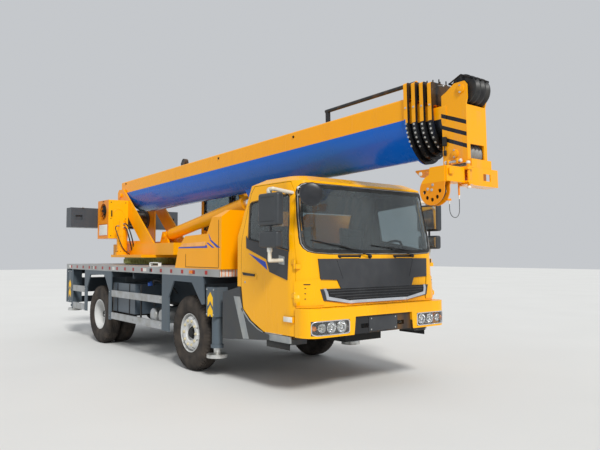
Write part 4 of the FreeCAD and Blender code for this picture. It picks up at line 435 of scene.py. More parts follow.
cross_pin = bar((8.105, -0.202, -0.480), (8.285, -0.202, -0.480), 0.013, 16)
dress(cross_pin, "cross_pin", zinc, "boom_fifth", place=RAISED)
cross_caps = [lathe([(0.0, 0.012), (0.014, 0.012), (0.020, 0.007), (0.020, -0.004), (0.0, -0.004)],
                    (x, -0.202, -0.480), (sign, 0, 0), 18) for x, sign in ((8.105, -1), (8.285, 1))]
dress(welded(cross_caps), "cross_pin_caps", gland_nylon, "boom_fifth", place=RAISED)


def slab(low, high, edge=0.004, segments=2):
    """A block between two corners with its edges rounded."""
    fresh()
    bpy.ops.mesh.primitive_cube_add(size=1, location=[(a + b) / 2 for a, b in zip(low, high)])
    piece = bpy.context.object
    piece.scale = [b - a for a, b in zip(low, high)]
    bpy.ops.object.transform_apply(location=True, rotation=True, scale=True)
    bpy.ops.object.mode_set(mode="EDIT")
    bpy.ops.mesh.select_all(action="SELECT")
    bpy.ops.mesh.bevel(offset=edge, segments=segments, affect="EDGES")
    bpy.ops.object.mode_set(mode="OBJECT")
    return piece


cross_lugs = welded([slab((x - 0.012, -0.222, -0.505), (x + 0.012, -0.163, -0.455), 0.006)
                     for x in (8.135, 8.250)])
dress(cross_lugs, "cross_pin_lugs", yellow_paint, "boom_fifth", place=RAISED)

limit_switch = [slab((8.058, -0.200, -0.300), (8.100, -0.164, -0.205), 0.006),
                slab((8.064, -0.190, -0.400), (8.092, -0.166, -0.345), 0.005),
                bar((8.079, -0.185, -0.345), (8.079, -0.185, -0.300), 0.005, 10)]
dress(studs([((7.640, side * 0.0555, -0.524), (0, side, 0)) for side in (-1, 1)], 0.017, 0.009, 16),
      "anchor_pin_caps", gland_nylon, "boom_fifth", place=RAISED)
dress(welded(limit_switch), "limit_switch", moulded("black_abs", "#1A1B1D", "#34342F"), "boom_fifth", place=RAISED)

# Folding jib box and single top: welded boxes and plates in the boom's yellow, pinned to the
# head; the single top's cheeks below its arm are painted a deeper orange as painted shade, and
# carry one sheave.
slot_paint, slot_surface, slot_place = begin("single_top_enamel")
slot_axes = node(slot_paint, "SeparateXYZ", {0: node(
    slot_paint, "Mapping", {"Vector": slot_place, "Location": BOOM_PIVOT, "Rotation": (0, BOOM_TILT, 0)},
    vector_type="TEXTURE")}).outputs
# Below the arm the yellow is painted a deeper orange: painted shade on the cheeks.
shaded_below_arm = above(slot_paint, -0.7255, slot_axes[2])
enamel(slot_paint, slot_surface, slot_place,
       node(slot_paint, "MixRGB", {"Fac": shaded_below_arm, "Color1": YELLOW, "Color2": "#F09404"}), YELLOW_FILM, 0.32)
coat(slot_paint, "single_top")

hinge_caps = [bar((8.42, -0.265, z), (8.42, -0.265, z + rise), 0.020, 20, 0.3)
              for z, rise in ((-0.532, 0.016), (-0.762, -0.014))]
dress(welded(hinge_caps), "single_top_hinge_caps", gland_nylon, "boom_fifth", place=RAISED)
# The stop lug of the single top, and the bolts of its sheave's pin.
stop_lug = slab((8.405, -0.560, -0.660), (8.425, -0.500, -0.600), 0.005)
dress(stop_lug, "single_top_stop", yellow_paint, "swing_arm", place=RAISED)
dress(studs([((8.222 + 0.05 * math.cos(a), -0.586, -0.796 + 0.05 * math.sin(a)), (0, -1, 0))
             for a in (math.radians(75 + 90 * n) for n in range(2))]
            + [((8.222, -0.586, -0.796), (0, -1, 0))], 0.010, 0.009),
      "single_sheave_bolts", zinc, "swing_arm", place=RAISED)

# Superstructure: welded plate in the same yellow, with the slewing reducer, the equipment
# cabinet on the right and the concrete-filled steel counterweight behind.
coat(yellow_paint, "turntable")
# The reducer's case is sprayed the same yellow; its fittings are plated and its hoses rubber.
coat(yellow_paint, "slew_drive")
hose_rubber = moulded("nitrile_hose_rubber", "#17181A", "#33322E", grain=700, roughness=0.5)


def pipe(points, radius, sides=3, order=4):
    """A tube or hose on one smooth line."""
    fresh()
    line = bpy.data.curves.new("line", "CURVE")
    line.dimensions = "3D"
    run = line.splines.new("NURBS")
    run.points.add(len(points) - 1)
    for point, place in zip(run.points, points):
        point.co = (*place, 1)
    run.order_u = min(order, len(points))
    run.use_endpoint_u = True
    line.bevel_depth = radius
    line.bevel_resolution = sides
    line.use_fill_caps = True
    piece = bpy.data.objects.new("line", line)
    bpy.context.scene.collection.objects.link(piece)
    bpy.context.view_layer.objects.active = piece
    piece.select_set(True)
    bpy.ops.object.convert(target="MESH")
    return bpy.context.object


reducer = (-3.25, -0.535)
rings = [lathe([(0.0985, 0.0), (0.104, 0.002), (0.104, 0.020), (0.0985, 0.022)], (*reducer, z), (0, 0, 1), 40)
         for z in (1.72, 1.80, 1.95)]
dress(welded(rings), "reducer_ribs", yellow_paint, "superstructure")
crown_bolts = studs([((reducer[0] + 0.112 * math.cos(a), reducer[1] + 0.112 * math.sin(a), 1.650), (0, 0, 1))
                     for a in (math.tau * n / 10 for n in range(10))], 0.009, 0.010)
dress(crown_bolts, "reducer_bolts", black_steel, "superstructure")
fittings = [bar((reducer[0] + 0.064, reducer[1], z), (reducer[0] + 0.112, reducer[1], z), 0.017, 6)
            for z in (2.12, 2.19)]
fittings.append(bar((reducer[0], reducer[1] - 0.064, 2.15), (reducer[0], reducer[1] - 0.105, 2.15), 0.015, 6))
dress(welded(fittings), "slew_motor_fittings", zinc, "superstructure")
hoses = [
    pipe([(reducer[0] + 0.112, reducer[1], 2.12), (reducer[0] + 0.19, reducer[1], 2.12),
          (reducer[0] + 0.25, reducer[1] + 0.02, 1.98), (reducer[0] + 0.22, reducer[1] + 0.08, 1.80),
          (reducer[0] + 0.16, reducer[1] + 0.13, 1.68)], 0.012),
    pipe([(reducer[0] + 0.112, reducer[1], 2.19), (reducer[0] + 0.22, reducer[1], 2.20),
          (reducer[0] + 0.30, reducer[1] + 0.03, 2.05), (reducer[0] + 0.28, reducer[1] + 0.10, 1.86),
          (reducer[0] + 0.20, reducer[1] + 0.16, 1.70)], 0.012),
    pipe([(reducer[0], reducer[1] - 0.105, 2.15), (reducer[0], reducer[1] - 0.16, 2.14),
          (reducer[0] + 0.10, reducer[1] - 0.15, 2.02), (reducer[0] + 0.13, reducer[1] - 0.10, 1.84),
          (reducer[0] + 0.135, reducer[1] - 0.02, 1.66), (reducer[0] + 0.13, reducer[1] + 0.10, 1.60)], 0.009)]
dress(welded(hoses), "slew_motor_hoses", hose_rubber, "superstructure")


def board(outline, plane, low, high, edge=0.0):
    """A plate: an outline in the XY, XZ or YZ plane, extruded from low to high across it."""
    fresh()
    place = {"XY": lambda a, b: (a, b, low), "XZ": lambda a, b: (a, low, b), "YZ": lambda a, b: (low, a, b)}[plane]
    across_plane = {"XY": (0, 0, 1), "XZ": (0, 1, 0), "YZ": (1, 0, 0)}[plane]
    mesh = bpy.data.meshes.new("plate")
    mesh.from_pydata([place(a, b) for a, b in outline], [], [range(len(outline))])
    piece = bpy.data.objects.new("plate", mesh)
    bpy.context.scene.collection.objects.link(piece)
    bpy.context.view_layer.objects.active = piece
    piece.select_set(True)
    bpy.ops.object.mode_set(mode="EDIT")
    bpy.ops.mesh.select_all(action="SELECT")
    bpy.ops.mesh.extrude_region_move(
        TRANSFORM_OT_translate={"value": [(high - low) * v for v in across_plane]})
    bpy.ops.mesh.select_all(action="SELECT")
    bpy.ops.mesh.normals_make_consistent(inside=False)
    if edge:
        bpy.ops.mesh.bevel(offset=edge, segments=2, affect="EDGES")
    bpy.ops.object.mode_set(mode="OBJECT")
    return piece


# Equipment cabinet: a folded sheet box in one yellow, painted orange on its outer side as painted
# shade, with a dark oval fan above a white louvred panel, and its front painted a brighter yellow
# as painted light, with an arched recess.
cabinet_paint, cabinet_surface, cabinet_place = begin("cabinet_enamel")
cabinet_axes = node(cabinet_paint, "SeparateXYZ", {0: cabinet_place}).outputs
# The front is painted a brighter yellow as painted light and the side orange as painted shade; the box is one yellow.
is_sunlit_front = above(cabinet_paint, cabinet_axes[0], -3.4215)
enamel(cabinet_paint, cabinet_surface, cabinet_place,
       node(cabinet_paint, "MixRGB", {"Fac": is_sunlit_front, "Color1": "#EF8E08", "Color2": "#FDB90A"}), YELLOW_FILM, 0.3)
coat(cabinet_paint, "equipment_cabinet")
fan_middle = (-3.70, -0.715, 2.44)
blades = []
for number in range(9):
    blade = slab((0.035, -0.001, -0.030), (0.158, 0.001, 0.030), 0.0008, 1)
    turn = Matrix.Rotation(math.tau * number / 9, 4, "Y") @ Matrix.Rotation(math.radians(32), 4, "X")
    blade.data.transform(Matrix.Translation(fan_middle) @ turn)
    blades.append(blade)
blades.append(lathe([(0.0, -0.012), (0.030, -0.010), (0.042, 0.0), (0.042, 0.024), (0.0, 0.024)],
                    fan_middle, (0, 1, 0), 24))
fan_black = moulded("black_polypropylene", "#141517", "#2B2B28", roughness=0.45)
dress(welded(blades), "cabinet_fan", fan_black, "superstructure")
guard = [lathe([(r - 0.002, 0.0), (r, -0.002), (r + 0.002, 0.0), (r, 0.002)], (-3.70, -0.748, 2.44), (0, 1, 0), 40)
         for r in (0.045, 0.085, 0.125, 0.163)]
guard += [bar((-3.70 - 0.166 * math.cos(a), -0.748, 2.44 - 0.166 * math.sin(a)),
              (-3.70 + 0.166 * math.cos(a), -0.748, 2.44 + 0.166 * math.sin(a)), 0.0022, 6, 0)
          for a in (math.radians(22.5 + 45 * n) for n in range(4))]
dress(welded(guard), "cabinet_fan_guard", black_steel, "superstructure")
white_paint = painted("white_enamel", "#E9E9E4", "#B8B4A8", roughness=0.35)
louvres = [slab((-3.920, -0.747, 1.975), (-3.490, -0.737, 2.185), 0.003)]
for number in range(9):
    low_edge = 1.992 + number * 0.0205
    louvres.append(board([(-0.749, low_edge), (-0.744, low_edge + 0.014), (-0.738, low_edge + 0.014),
                          (-0.738, low_edge)], "YZ", -3.895, -3.515))
dress(welded(louvres), "cabinet_louvres", white_paint, "superstructure")
arch = [(-0.66, 2.02), (-0.66, 2.38)] + [(-0.55 + 0.11 * math.cos(a), 2.38 + 0.11 * math.sin(a))
                                          for a in (math.radians(180 - 15 * n) for n in range(13))] + [(-0.44, 2.02)]
arch_line = pipe([(-3.4195, y, z) for y, z in arch], 0.006, 2, 2)
dress(arch_line, "cabinet_front_bead", cabinet_paint, "superstructure")
dress(studs([((-3.4195, y, z), (1, 0, 0)) for y in (-0.70, -0.40) for z in (1.96, 2.30, 2.62)], 0.007, 0.006),
      "cabinet_screws", black_steel, "superstructure")
dress(welded([slab((-3.4205, -0.70, 2.34), (-3.395, -0.68, 2.46), 0.006),
              slab((-3.75, -0.7505, 2.635), (-3.65, -0.742, 2.655), 0.003)]),
      "cabinet_handle", black_steel, "superstructure")

# Counterweight: a slab of steel plate filled with ballast, in dark grey enamel.
grey_enamel = painted("dark_grey_enamel", "#4A4F55", "#6E6A62", roughness=0.42, coat=0.15)
coat(grey_enamel, "counterweight")
dress(studs([((-4.40 + 0.16 * (n % 2) - 0.05, y, 2.549), (0, 0, 1)) for y in (-0.95, -0.55, 0.55, 0.95)
             for n in range(2)], 0.016, 0.014), "counterweight_bolts", zinc, "superstructure")

# Winch: a grey cast drum with two flanges and one full layer of steel wire rope. The rope's
# strands show as a fine slant on each turn.
drum_steel = painted("drum_grey_enamel", "#5B5F63", "#6B655A", roughness=0.45, coat=0.1)
coat(drum_steel, "winch_drum")
rope_steel = plated("wire_rope_steel", "#8E8A80", "#4B4438", roughness=0.42, scale=60.0)
rope_strands = node(rope_steel, "TexWave", {
    "Vector": rope_steel.node_tree.nodes["Texture Coordinate"].outputs["Object"], "Scale": 45.0,
    "Distortion": 1.0}, bands_direction="DIAGONAL")
rope_bump = node(rope_steel, "Bump", {"Height": rope_strands, "Strength": 0.5, "Distance": 0.0015})
wire(rope_steel, rope_steel.node_tree.nodes["Principled BSDF"], {"Normal": rope_bump})
winch_middle = Vector((-4.06, 0, 2.33))
rope_pitch, rope_radius = 0.0145, 0.007
rope_turns = 39
turn_points = [winch_middle + Vector((
    (0.130 + rope_radius) * math.cos(a), -rope_turns * rope_pitch / 2 + rope_pitch * a / math.tau,
    (0.130 + rope_radius) * math.sin(a))) for a in (math.tau * n / 24 for n in range(rope_turns * 24 + 1))]
dress(pipe(turn_points, rope_radius, 1, 3), "winch_rope", rope_steel, "winch")
dress(studs([(winch_middle + Vector((0.165 * math.cos(a), side * 0.3135, 0.165 * math.sin(a))), (0, side, 0))
             for side in (-1, 1) for a in (math.tau * n / 8 for n in range(8))], 0.010, 0.006),
      "winch_flange_bolts", zinc, "winch")

# Lift cylinder: a honed tube sprayed yellow, with an orange foot, and a hard
# chromed rod.
lift_paint, lift_surface, lift_place = begin("lift_cylinder_enamel")
lift_axes = node(lift_paint, "SeparateXYZ", {0: lift_place}).outputs
enamel(lift_paint, lift_surface, lift_place, node(lift_paint, "MixRGB", {
    "Fac": above(lift_paint, lift_axes[0], -2.16), "Color1": "#F08A0A", "Color2": YELLOW}), YELLOW_FILM, 0.3)
coat(lift_paint, "lift_barrel")
# Hard chrome: a mirror that reflects the whole shop, a touch blue.
chrome = plated("hard_chrome", "#E3E6EA", "#C3C6C8", roughness=0.08, scale=5.0)
coat(chrome, "lift_rod")

# Deck and frame: an aluminium deck edge over slate grey skirts and frame members, with bolted
# aluminium guard rails between the wheels.
# Slate enamel: a thin matt coat over rough plate, with road dust low down.
slate = painted("slate_grey_enamel", "#56616A", "#7D7B75", roughness=0.46, coat=0.08)
coat(slate, "side_skirts")
under_paint = painted("frame_grey_enamel", "#3B434A", "#68645C", roughness=0.55, coat=0.0)
coat(under_paint, "chassis_frame")
cast_black = painted("axle_black_paint", "#26282A", "#5B5348", roughness=0.6, coat=0.0, peel=90)
coat(cast_black, "axles", "driveline", "knuckle_right", "knuckle_left")

# Mill aluminium: pale, drawn lines along its length, chalky oxide here and there.
aluminium, aluminium_surface, aluminium_place = begin("mill_aluminium")
drawn = node(aluminium, "TexNoise", {
    "Vector": node(aluminium, "Mapping", {"Vector": aluminium_place, "Scale": (2.0, 300.0, 300.0)}), "Scale": 1.0})
oxide = node(aluminium, "TexNoise", {"Vector": aluminium_place, "Scale": 5.0, "Detail": 5.0})
wire(aluminium, aluminium_surface, {
    "Base Color": node(aluminium, "MixRGB", {
        "Fac": node(aluminium, "MapRange", {"Value": oxide, "From Min": 0.4, "From Max": 0.7}),
        "Color1": "#B3B6B9", "Color2": "#9A9A95"}),
    "Metallic": 0.55,
    "Roughness": node(aluminium, "MapRange", {"Value": drawn, "To Min": 0.38, "To Max": 0.55}),
    "Normal": node(aluminium, "Bump", {"Height": drawn, "Strength": 0.15, "Distance": 0.0003})})
coat(aluminium, "guard_rails")

# Deck plate: five-bar tread on the top, drawn here by two crossed waves at a 30 mm pitch.
tread, tread_surface, tread_place = begin("aluminium_tread_plate")
turned_places = [node(tread, "Mapping", {"Vector": tread_place, "Rotation": (0, 0, math.radians(a))})
                 for a in (45, -45)]
waves = [node(tread, "TexWave", {"Vector": place, "Scale": 10.5}, bands_direction="X") for place in turned_places]
is_top = above(tread, node(tread, "SeparateXYZ", {0: node(tread, "NewGeometry").outputs["Normal"]}).outputs[2], 0.7)
bars = node(tread, "Math", {0: waves[0], 1: waves[1]}, operation="MULTIPLY")
bars = node(tread, "Math", {0: bars, 1: is_top}, operation="MULTIPLY")
deck_dirt = node(tread, "TexNoise", {"Vector": tread_place, "Scale": 3.0, "Detail": 6.0})
wire(tread, tread_surface, {
    "Base Color": node(tread, "MixRGB", {"Fac": deck_dirt, "Color1": "#BDC0C2", "Color2": "#93928D"}),
    "Metallic": 0.5, "Roughness": 0.45,
    "Normal": node(tread, "Bump", {"Height": bars, "Strength": 0.7, "Distance": 0.002})})
coat(tread, "deck")

# Reflector squares on the deck's edge: red and white prismatic tape, with one black and one
# amber lamp near the front.
red_tape = moulded("red_reflective_tape", "#A51F1B", "#7E2A22", grain=1200, roughness=0.3)
white_tape = moulded("white_reflective_tape", "#E8E6E2", "#C9C4BA", grain=1200, roughness=0.3)
amber_lens = moulded("amber_acrylic_lens", "#F08A1E", "#D9741A", roughness=0.2)
for side, word in ((-1, "right"), (1, "left")):
    def edge_tile(x, length, height=0.052, proud=0.0035):
        """A flat rounded tile on the deck's edge."""
        low, high = sorted((side * 1.1985, side * (1.2 + proud)))
        return slab((x - length / 2, low, 1.356 - height / 2), (x + length / 2, high, 1.356 + height / 2), 0.0015, 1)

    dress(welded([edge_tile(1.19 - 0.335 * n, 0.062) for n in range(17)]), f"deck_red_tape_{word}", red_tape, "chassis")
    dress(welded([edge_tile(x, width) for x, width in ((-0.72, 0.12), (-1.99, 0.09), (-2.99, 0.09), (-4.25, 0.09))]),
          f"deck_white_tape_{word}", white_tape, "chassis")
    dress(edge_tile(0.78, 0.085, 0.045, 0.012), f"deck_amber_lamp_{word}", amber_lens, "chassis")
    wrap_low, wrap_high = sorted((side * 1.190, side * 0.930))
    dress(slab((1.5285, wrap_low, 1.312), (1.5325, wrap_high, 1.400), 0.001, 1), f"deck_corner_wrap_{word}",
          white_tape, "chassis")
    dress(welded([slab((1.5295, side * (1.170 - 0.052 * n) - 0.006, 1.312), (1.5335, side * (1.170 - 0.052 * n) + 0.006, 1.400),
                       0.0008, 1) for n in range(5)]), f"deck_corner_bands_{word}", amber_lens, "chassis")
    dress(welded([edge_tile(-0.50, 0.05, 0.05, 0.010), edge_tile(-3.0, 0.03, 0.05, 0.010)]),
          f"deck_black_lamp_{word}", fan_black, "chassis")
    dress(studs([((x, side * 1.1955, z), (0, side, 0)) for x in (-4.02, -3.38, -2.14, -1.15, -0.17)
                 for z in (0.545, 0.95)], 0.010, 0.008), f"guard_rail_bolts_{word}", zinc, "chassis")

# Tanks: the long steel tanks are slate enamel; the two air drums are bare spun aluminium.
tank_finish, tank_surface, tank_place = begin("tank_enamel_and_aluminium")
tank_axes = node(tank_finish, "SeparateXYZ", {0: tank_place}).outputs
is_drum = node(tank_finish, "Math", {0: above(tank_finish, tank_axes[0], -0.70), 1: above(
    tank_finish, 0.776, tank_axes[2])}, operation="MULTIPLY")
spun = node(tank_finish, "TexNoise", {"Vector": node(tank_finish, "Mapping", {
    "Vector": tank_place, "Scale": (90.0, 3.0, 90.0)}), "Scale": 1.0, "Detail": 3.0})
wire(tank_finish, tank_surface, {
    "Base Color": node(tank_finish, "MixRGB", {"Fac": is_drum, "Color1": "#4A555F", "Color2": node(
        tank_finish, "MixRGB", {"Fac": spun, "Color1": "#C9CCCE", "Color2": "#A9ACAE"})}),
    "Metallic": is_drum,
    "Roughness": node(tank_finish, "MapRange", {"Value": spun, "To Min": 0.34, "To Max": 0.46})})
coat(tank_finish, "side_tanks")
domes = [lathe([(0.1105, -0.012), (0.1105, 0.0), (0.104, 0.014), (0.078, 0.027), (0.040, 0.034), (0.0, 0.036)],
               (x, -1.12, 0.665), (0, -1, 0), 40) for x in (-0.54, -0.25)]
dress(welded(domes), "air_drum_ends", aluminium, "chassis")

# Handle box and step on the deck, and the filler cap and hoses over the fuel tank.
dress(welded([slab((-0.62, -1.17, 1.40), (-0.30, -1.12, 1.415), 0.003),
              slab((-0.62, -1.17, 1.40), (-0.605, -1.12, 1.475), 0.003),
              slab((-0.315, -1.17, 1.40), (-0.30, -1.12, 1.475), 0.003),
              slab((-0.62, -1.17, 1.462), (-0.30, -1.12, 1.475), 0.003)]),
      "deck_handle_box", white_paint, "chassis")
blue_plastic = moulded("blue_polyethylene", "#2A62C8", "#2B4F92", roughness=0.35)
cap = lathe([(0.0, 0.045), (0.040, 0.044), (0.046, 0.038), (0.047, 0.006), (0.052, 0.004), (0.052, -0.004)],
            (-0.98, -0.97, 1.108), (0.15, -0.25, 1), 28)
dress(cap, "tank_cap", blue_plastic, "chassis")
under_hoses = [
    pipe([(-0.92, -0.95, 1.10), (-0.86, -1.0, 1.18), (-0.70, -0.98, 1.22), (-0.60, -0.90, 1.10), (-0.52, -0.85, 0.98)],
         0.016),
    pipe([(-0.55, -0.92, 1.06), (-0.48, -1.02, 1.12), (-0.36, -1.0, 1.16), (-0.24, -0.94, 1.10), (-0.20, -0.90, 1.0)],
         0.014),
    pipe([(-0.72, -1.02, 0.78), (-0.68, -1.06, 0.86), (-0.60, -1.05, 0.92), (-0.52, -1.02, 0.88), (-0.46, -0.98, 0.80)],
         0.012)]
dress(welded(under_hoses), "tank_hoses", hose_rubber, "chassis")
bands = [slab((x - 0.02, -1.134, 0.56), (x + 0.02, -1.12, 1.105), 0.003) for x in (-1.95, -1.45, -1.0)]
dress(welded(bands), "tank_bands", black_steel, "chassis")

# Slewing ring: an outer ring whose teeth are cut into its rim and kept in grease.
ring_steel = plated("greased_gear_steel", "#8C8E5A", "#6F6A35", roughness=0.4, scale=20.0)
coat(ring_steel, "slew_ring")
tooth = board([(-0.011, -0.001), (-0.005, 0.017), (0.005, 0.017), (0.011, -0.001)], "XY", 1.432, 1.508, 0.0)
teeth = []
for number in range(120):
    copy = tooth.copy()
    copy.data = tooth.data.copy()
    turn = math.tau * number / 120
    copy.data.transform(Matrix.Translation((-2.74, 0, 0)) @ Matrix.Rotation(turn, 4, "Z")
                        @ Matrix.Translation((0, 0.640, 0)))
    bpy.context.scene.collection.objects.link(copy)
    teeth.append(copy)
bpy.data.objects.remove(tooth)
dress(welded(teeth), "slew_ring_teeth", ring_steel, "chassis")

# Hood boxes: yellow sheet boxes on the deck behind the cab, with blue stripe films, the seams
# of a door on the outside, and a rubber boom rest between them.
hood_paint = painted("hood_enamel", "#FEAB00", YELLOW_FILM)
coat(hood_paint, "hood_boxes")
blue_film = moulded("blue_vinyl_film", "#2448B8", "#2B4A9C", grain=1500, roughness=0.3)
pale_film = moulded("pale_orange_vinyl_film", "#FDB560", "#E9A050", grain=1500, roughness=0.3)
for side, word in ((-1, "right"), (1, "left")):
    def on_side(outline, depth):
        """A flat piece on the hood's side, depth proud of it."""
        low, high = sorted((side * 1.199, side * (1.2 + depth)))
        return board(outline, "XZ", low, high)

    lines = [on_side([(0.40, 1.682), (1.22, 1.682), (1.19, 1.730), (1.15, 1.706), (0.42, 1.700)], 0.001),
             on_side([(1.19, 1.750), (1.24, 1.750), (1.40, 1.682), (1.34, 1.682)], 0.001),
             on_side([(1.27, 1.785), (1.32, 1.785), (1.545, 1.682), (1.46, 1.682)], 0.001),
             on_side([(1.244, 1.862), (1.254, 1.862), (1.315, 1.790), (1.285, 1.790)], 0.001)]
    dress(welded(lines), f"hood_blue_stripes_{word}", blue_film, "chassis")
    dress(on_side([(0.46, 1.706), (1.14, 1.713), (1.17, 1.766), (0.56, 1.748)], 0.0006),
          f"hood_pale_stripe_{word}", pale_film, "chassis")
    door_low, door_high = sorted((side * 1.1995, side * 1.204))
    seams = [slab((0.62, door_low, 1.425), (0.626, door_high, 1.60), 0.001, 1),
             slab((1.50, door_low, 1.425), (1.506, door_high, 2.04), 0.001, 1),
             slab((0.62, door_low, 1.422), (1.506, door_high, 1.428), 0.001, 1)]
    dress(welded(seams), f"hood_door_seams_{word}", moulded("seam_rubber", "#5A3A10", "#3F2E16"), "chassis")
rubber_pad = slab((1.385, -0.145, 2.545), (1.495, 0.145, 2.5685), 0.008)
dress(rubber_pad, "boom_rest_rubber", moulded("rest_pad_rubber", "#1B1B1C", "#3A3833", grain=400), "chassis")
exhaust = [bar((0.36, -0.50, 1.405), (0.36, -0.50, 1.86), 0.055, 28, 0.1),
           pipe([(0.36, -0.50, 1.84), (0.36, -0.50, 1.95), (0.36, -0.52, 2.02), (0.33, -0.58, 2.07)], 0.032, 4)]
dress(welded(exhaust), "exhaust_stack", plated("heat_stained_steel", "#9A948A", "#6B5A48", roughness=0.4), "chassis")

# Outriggers: welded box beams in slate enamel, each end box with two yellow chevrons on its
# outer face, and a chromed jack rod.
for end, axis_right, axis_left, low, high in (("front", 1.300, 1.510, 0.79, 1.17), ("rear", -4.250, -4.040, 0.64, 1.285)):
    for side, word, axis_x in ((-1, "right", axis_right), (1, "left", axis_left)):
        chevrons, chevron_surface, chevron_place = begin(f"chevron_enamel_{end}_{word}")
        parts = node(chevrons, "SeparateXYZ", {0: chevron_place}).outputs
        aside = node(chevrons, "Math", {0: node(chevrons, "Math", {0: parts[0], 1: axis_x}, operation="SUBTRACT")},
                     operation="ABSOLUTE")
        height = node(chevrons, "Math", {0: aside, 1: 1.1, 2: parts[2]}, operation="MULTIPLY_ADD")
        start = (low + high) / 2 - 0.155
        steps = node(chevrons, "Math", {0: node(chevrons, "Math", {0: height, 1: start}, operation="SUBTRACT"),
                                        1: 0.168}, operation="DIVIDE")
        shown = node(chevrons, "Math", {0: above(chevrons, 0.70, node(chevrons, "Math", {0: steps}, operation="FRACT")),
                                        1: above(chevrons, steps, 0.0)}, operation="MULTIPLY")
        for gate in (above(chevrons, 2.0, steps), above(chevrons, 0.066, aside),
                     above(chevrons, node(chevrons, "Math", {0: parts[1]}, operation="ABSOLUTE"), 1.1985)):
            shown = node(chevrons, "Math", {0: shown, 1: gate}, operation="MULTIPLY")
        enamel(chevrons, chevron_surface, chevron_place, node(chevrons, "MixRGB", {
            "Fac": shown, "Color1": "#56616A", "Color2": "#FFC70A"}), "#8A8880", 0.45, coat=0.08)
        coat(chevrons, f"outrigger_{end}_{word}")
        coat(zinc, f"jack_{end}_{word}")
        body = f"beam_{end}_{word}"
        dress(studs([((axis_x + x, side * 1.2, z), (0, side, 0)) for x in (-0.085, 0.085)
                     for z in (low + 0.03, high - 0.03)], 0.008, 0.007), f"{end}_{word}_end_bolts", zinc, body)
        hose = pipe([(axis_x - 0.08, side * 1.06, low + 0.01), (axis_x - 0.10, side * 1.06, low - 0.06),
                     (axis_x - 0.095, side * 1.07, low - 0.14), (axis_x - 0.062, side * 1.08, low - 0.16)], 0.008)
        dress(hose, f"{end}_{word}_jack_hose", hose_rubber, body)

# Wheels: radial lorry tyres on pressed steel rims. The carcass is turned, its shoulders
# carry moulded lugs, and the side walls are brown with road dust.
tyre_rubber, tyre_surface, tyre_place = begin("tyre_rubber")
dirt = node(tyre_rubber, "TexNoise", {"Vector": tyre_place, "Scale": 6.0, "Detail": 6.0})
tyre_grain = node(tyre_rubber, "TexNoise", {"Vector": tyre_place, "Scale": 500.0})
wire(tyre_rubber, tyre_surface, {
    "Base Color": node(tyre_rubber, "MixRGB", {
        "Fac": node(tyre_rubber, "MapRange", {"Value": dirt, "From Min": 0.35, "From Max": 0.7}),
        "Color1": "#2B2826", "Color2": "#4C443D"}),
    "Roughness": 0.82, "Specular IOR Level": 0.3,
    "Normal": node(tyre_rubber, "Bump", {"Height": tyre_grain, "Strength": 0.25, "Distance": 0.0006})})
half_carcass = [
    (0.2665, 0.030), (0.284, 0.022), (0.292, 0.013), (0.302, 0.0075), (0.318, 0.0065), (0.324, 0.0045),
    (0.352, 0.0035), (0.356, 0.0015), (0.401, 0.0008), (0.436, 0.0035), (0.440, 0.0060), (0.462, 0.0095),
    (0.484, 0.0220), (0.497, 0.0360), (0.5025, 0.0480)]
grooves = []
for rib in (0.074, 0.108, 0.142, 0.176):
    grooves += [(0.515, rib - 0.0055), (0.503, rib - 0.0035), (0.503, rib + 0.0035), (0.515, rib + 0.0055)]
carcass = (half_carcass + [(0.5025, 0.056), (0.5148, 0.058)] + grooves + [(0.5148, 0.192), (0.5025, 0.194)]
           + [(radius, 0.25 - far) for radius, far in reversed(half_carcass)])
tyre_parts = [lathe(carcass, (0, 0, 0), (0, 1, 0), 88)]
lug_outline = [(0.006, 0.448), (0.0115, 0.4715), (0.0335, 0.5068), (0.056, 0.5146), (0.056, 0.500), (0.030, 0.480)]
for mirror in (False, True):
    outline = [(0.25 - a if mirror else a, b) for a, b in lug_outline]
    lug = board(outline[::-1] if mirror else outline, "YZ", -0.0125, 0.0125, 0.0)
    for number in range(64):
        copy = lug.copy()
        copy.data = lug.data.copy()
        turn = math.tau * (number + 0.5 * mirror) / 64
        copy.data.transform(Matrix.Rotation(turn, 4, "Y"))
        bpy.context.scene.collection.objects.link(copy)
        tyre_parts.append(copy)
    bpy.data.objects.remove(lug)
tyre_model = welded(tyre_parts)


def tyre_at(x, y):
    copy = tyre_model.copy()
    copy.data = tyre_model.data.copy()
    copy.data.transform(Matrix.Translation((x, y, 0.515)))
    bpy.context.scene.collection.objects.link(copy)
    return copy


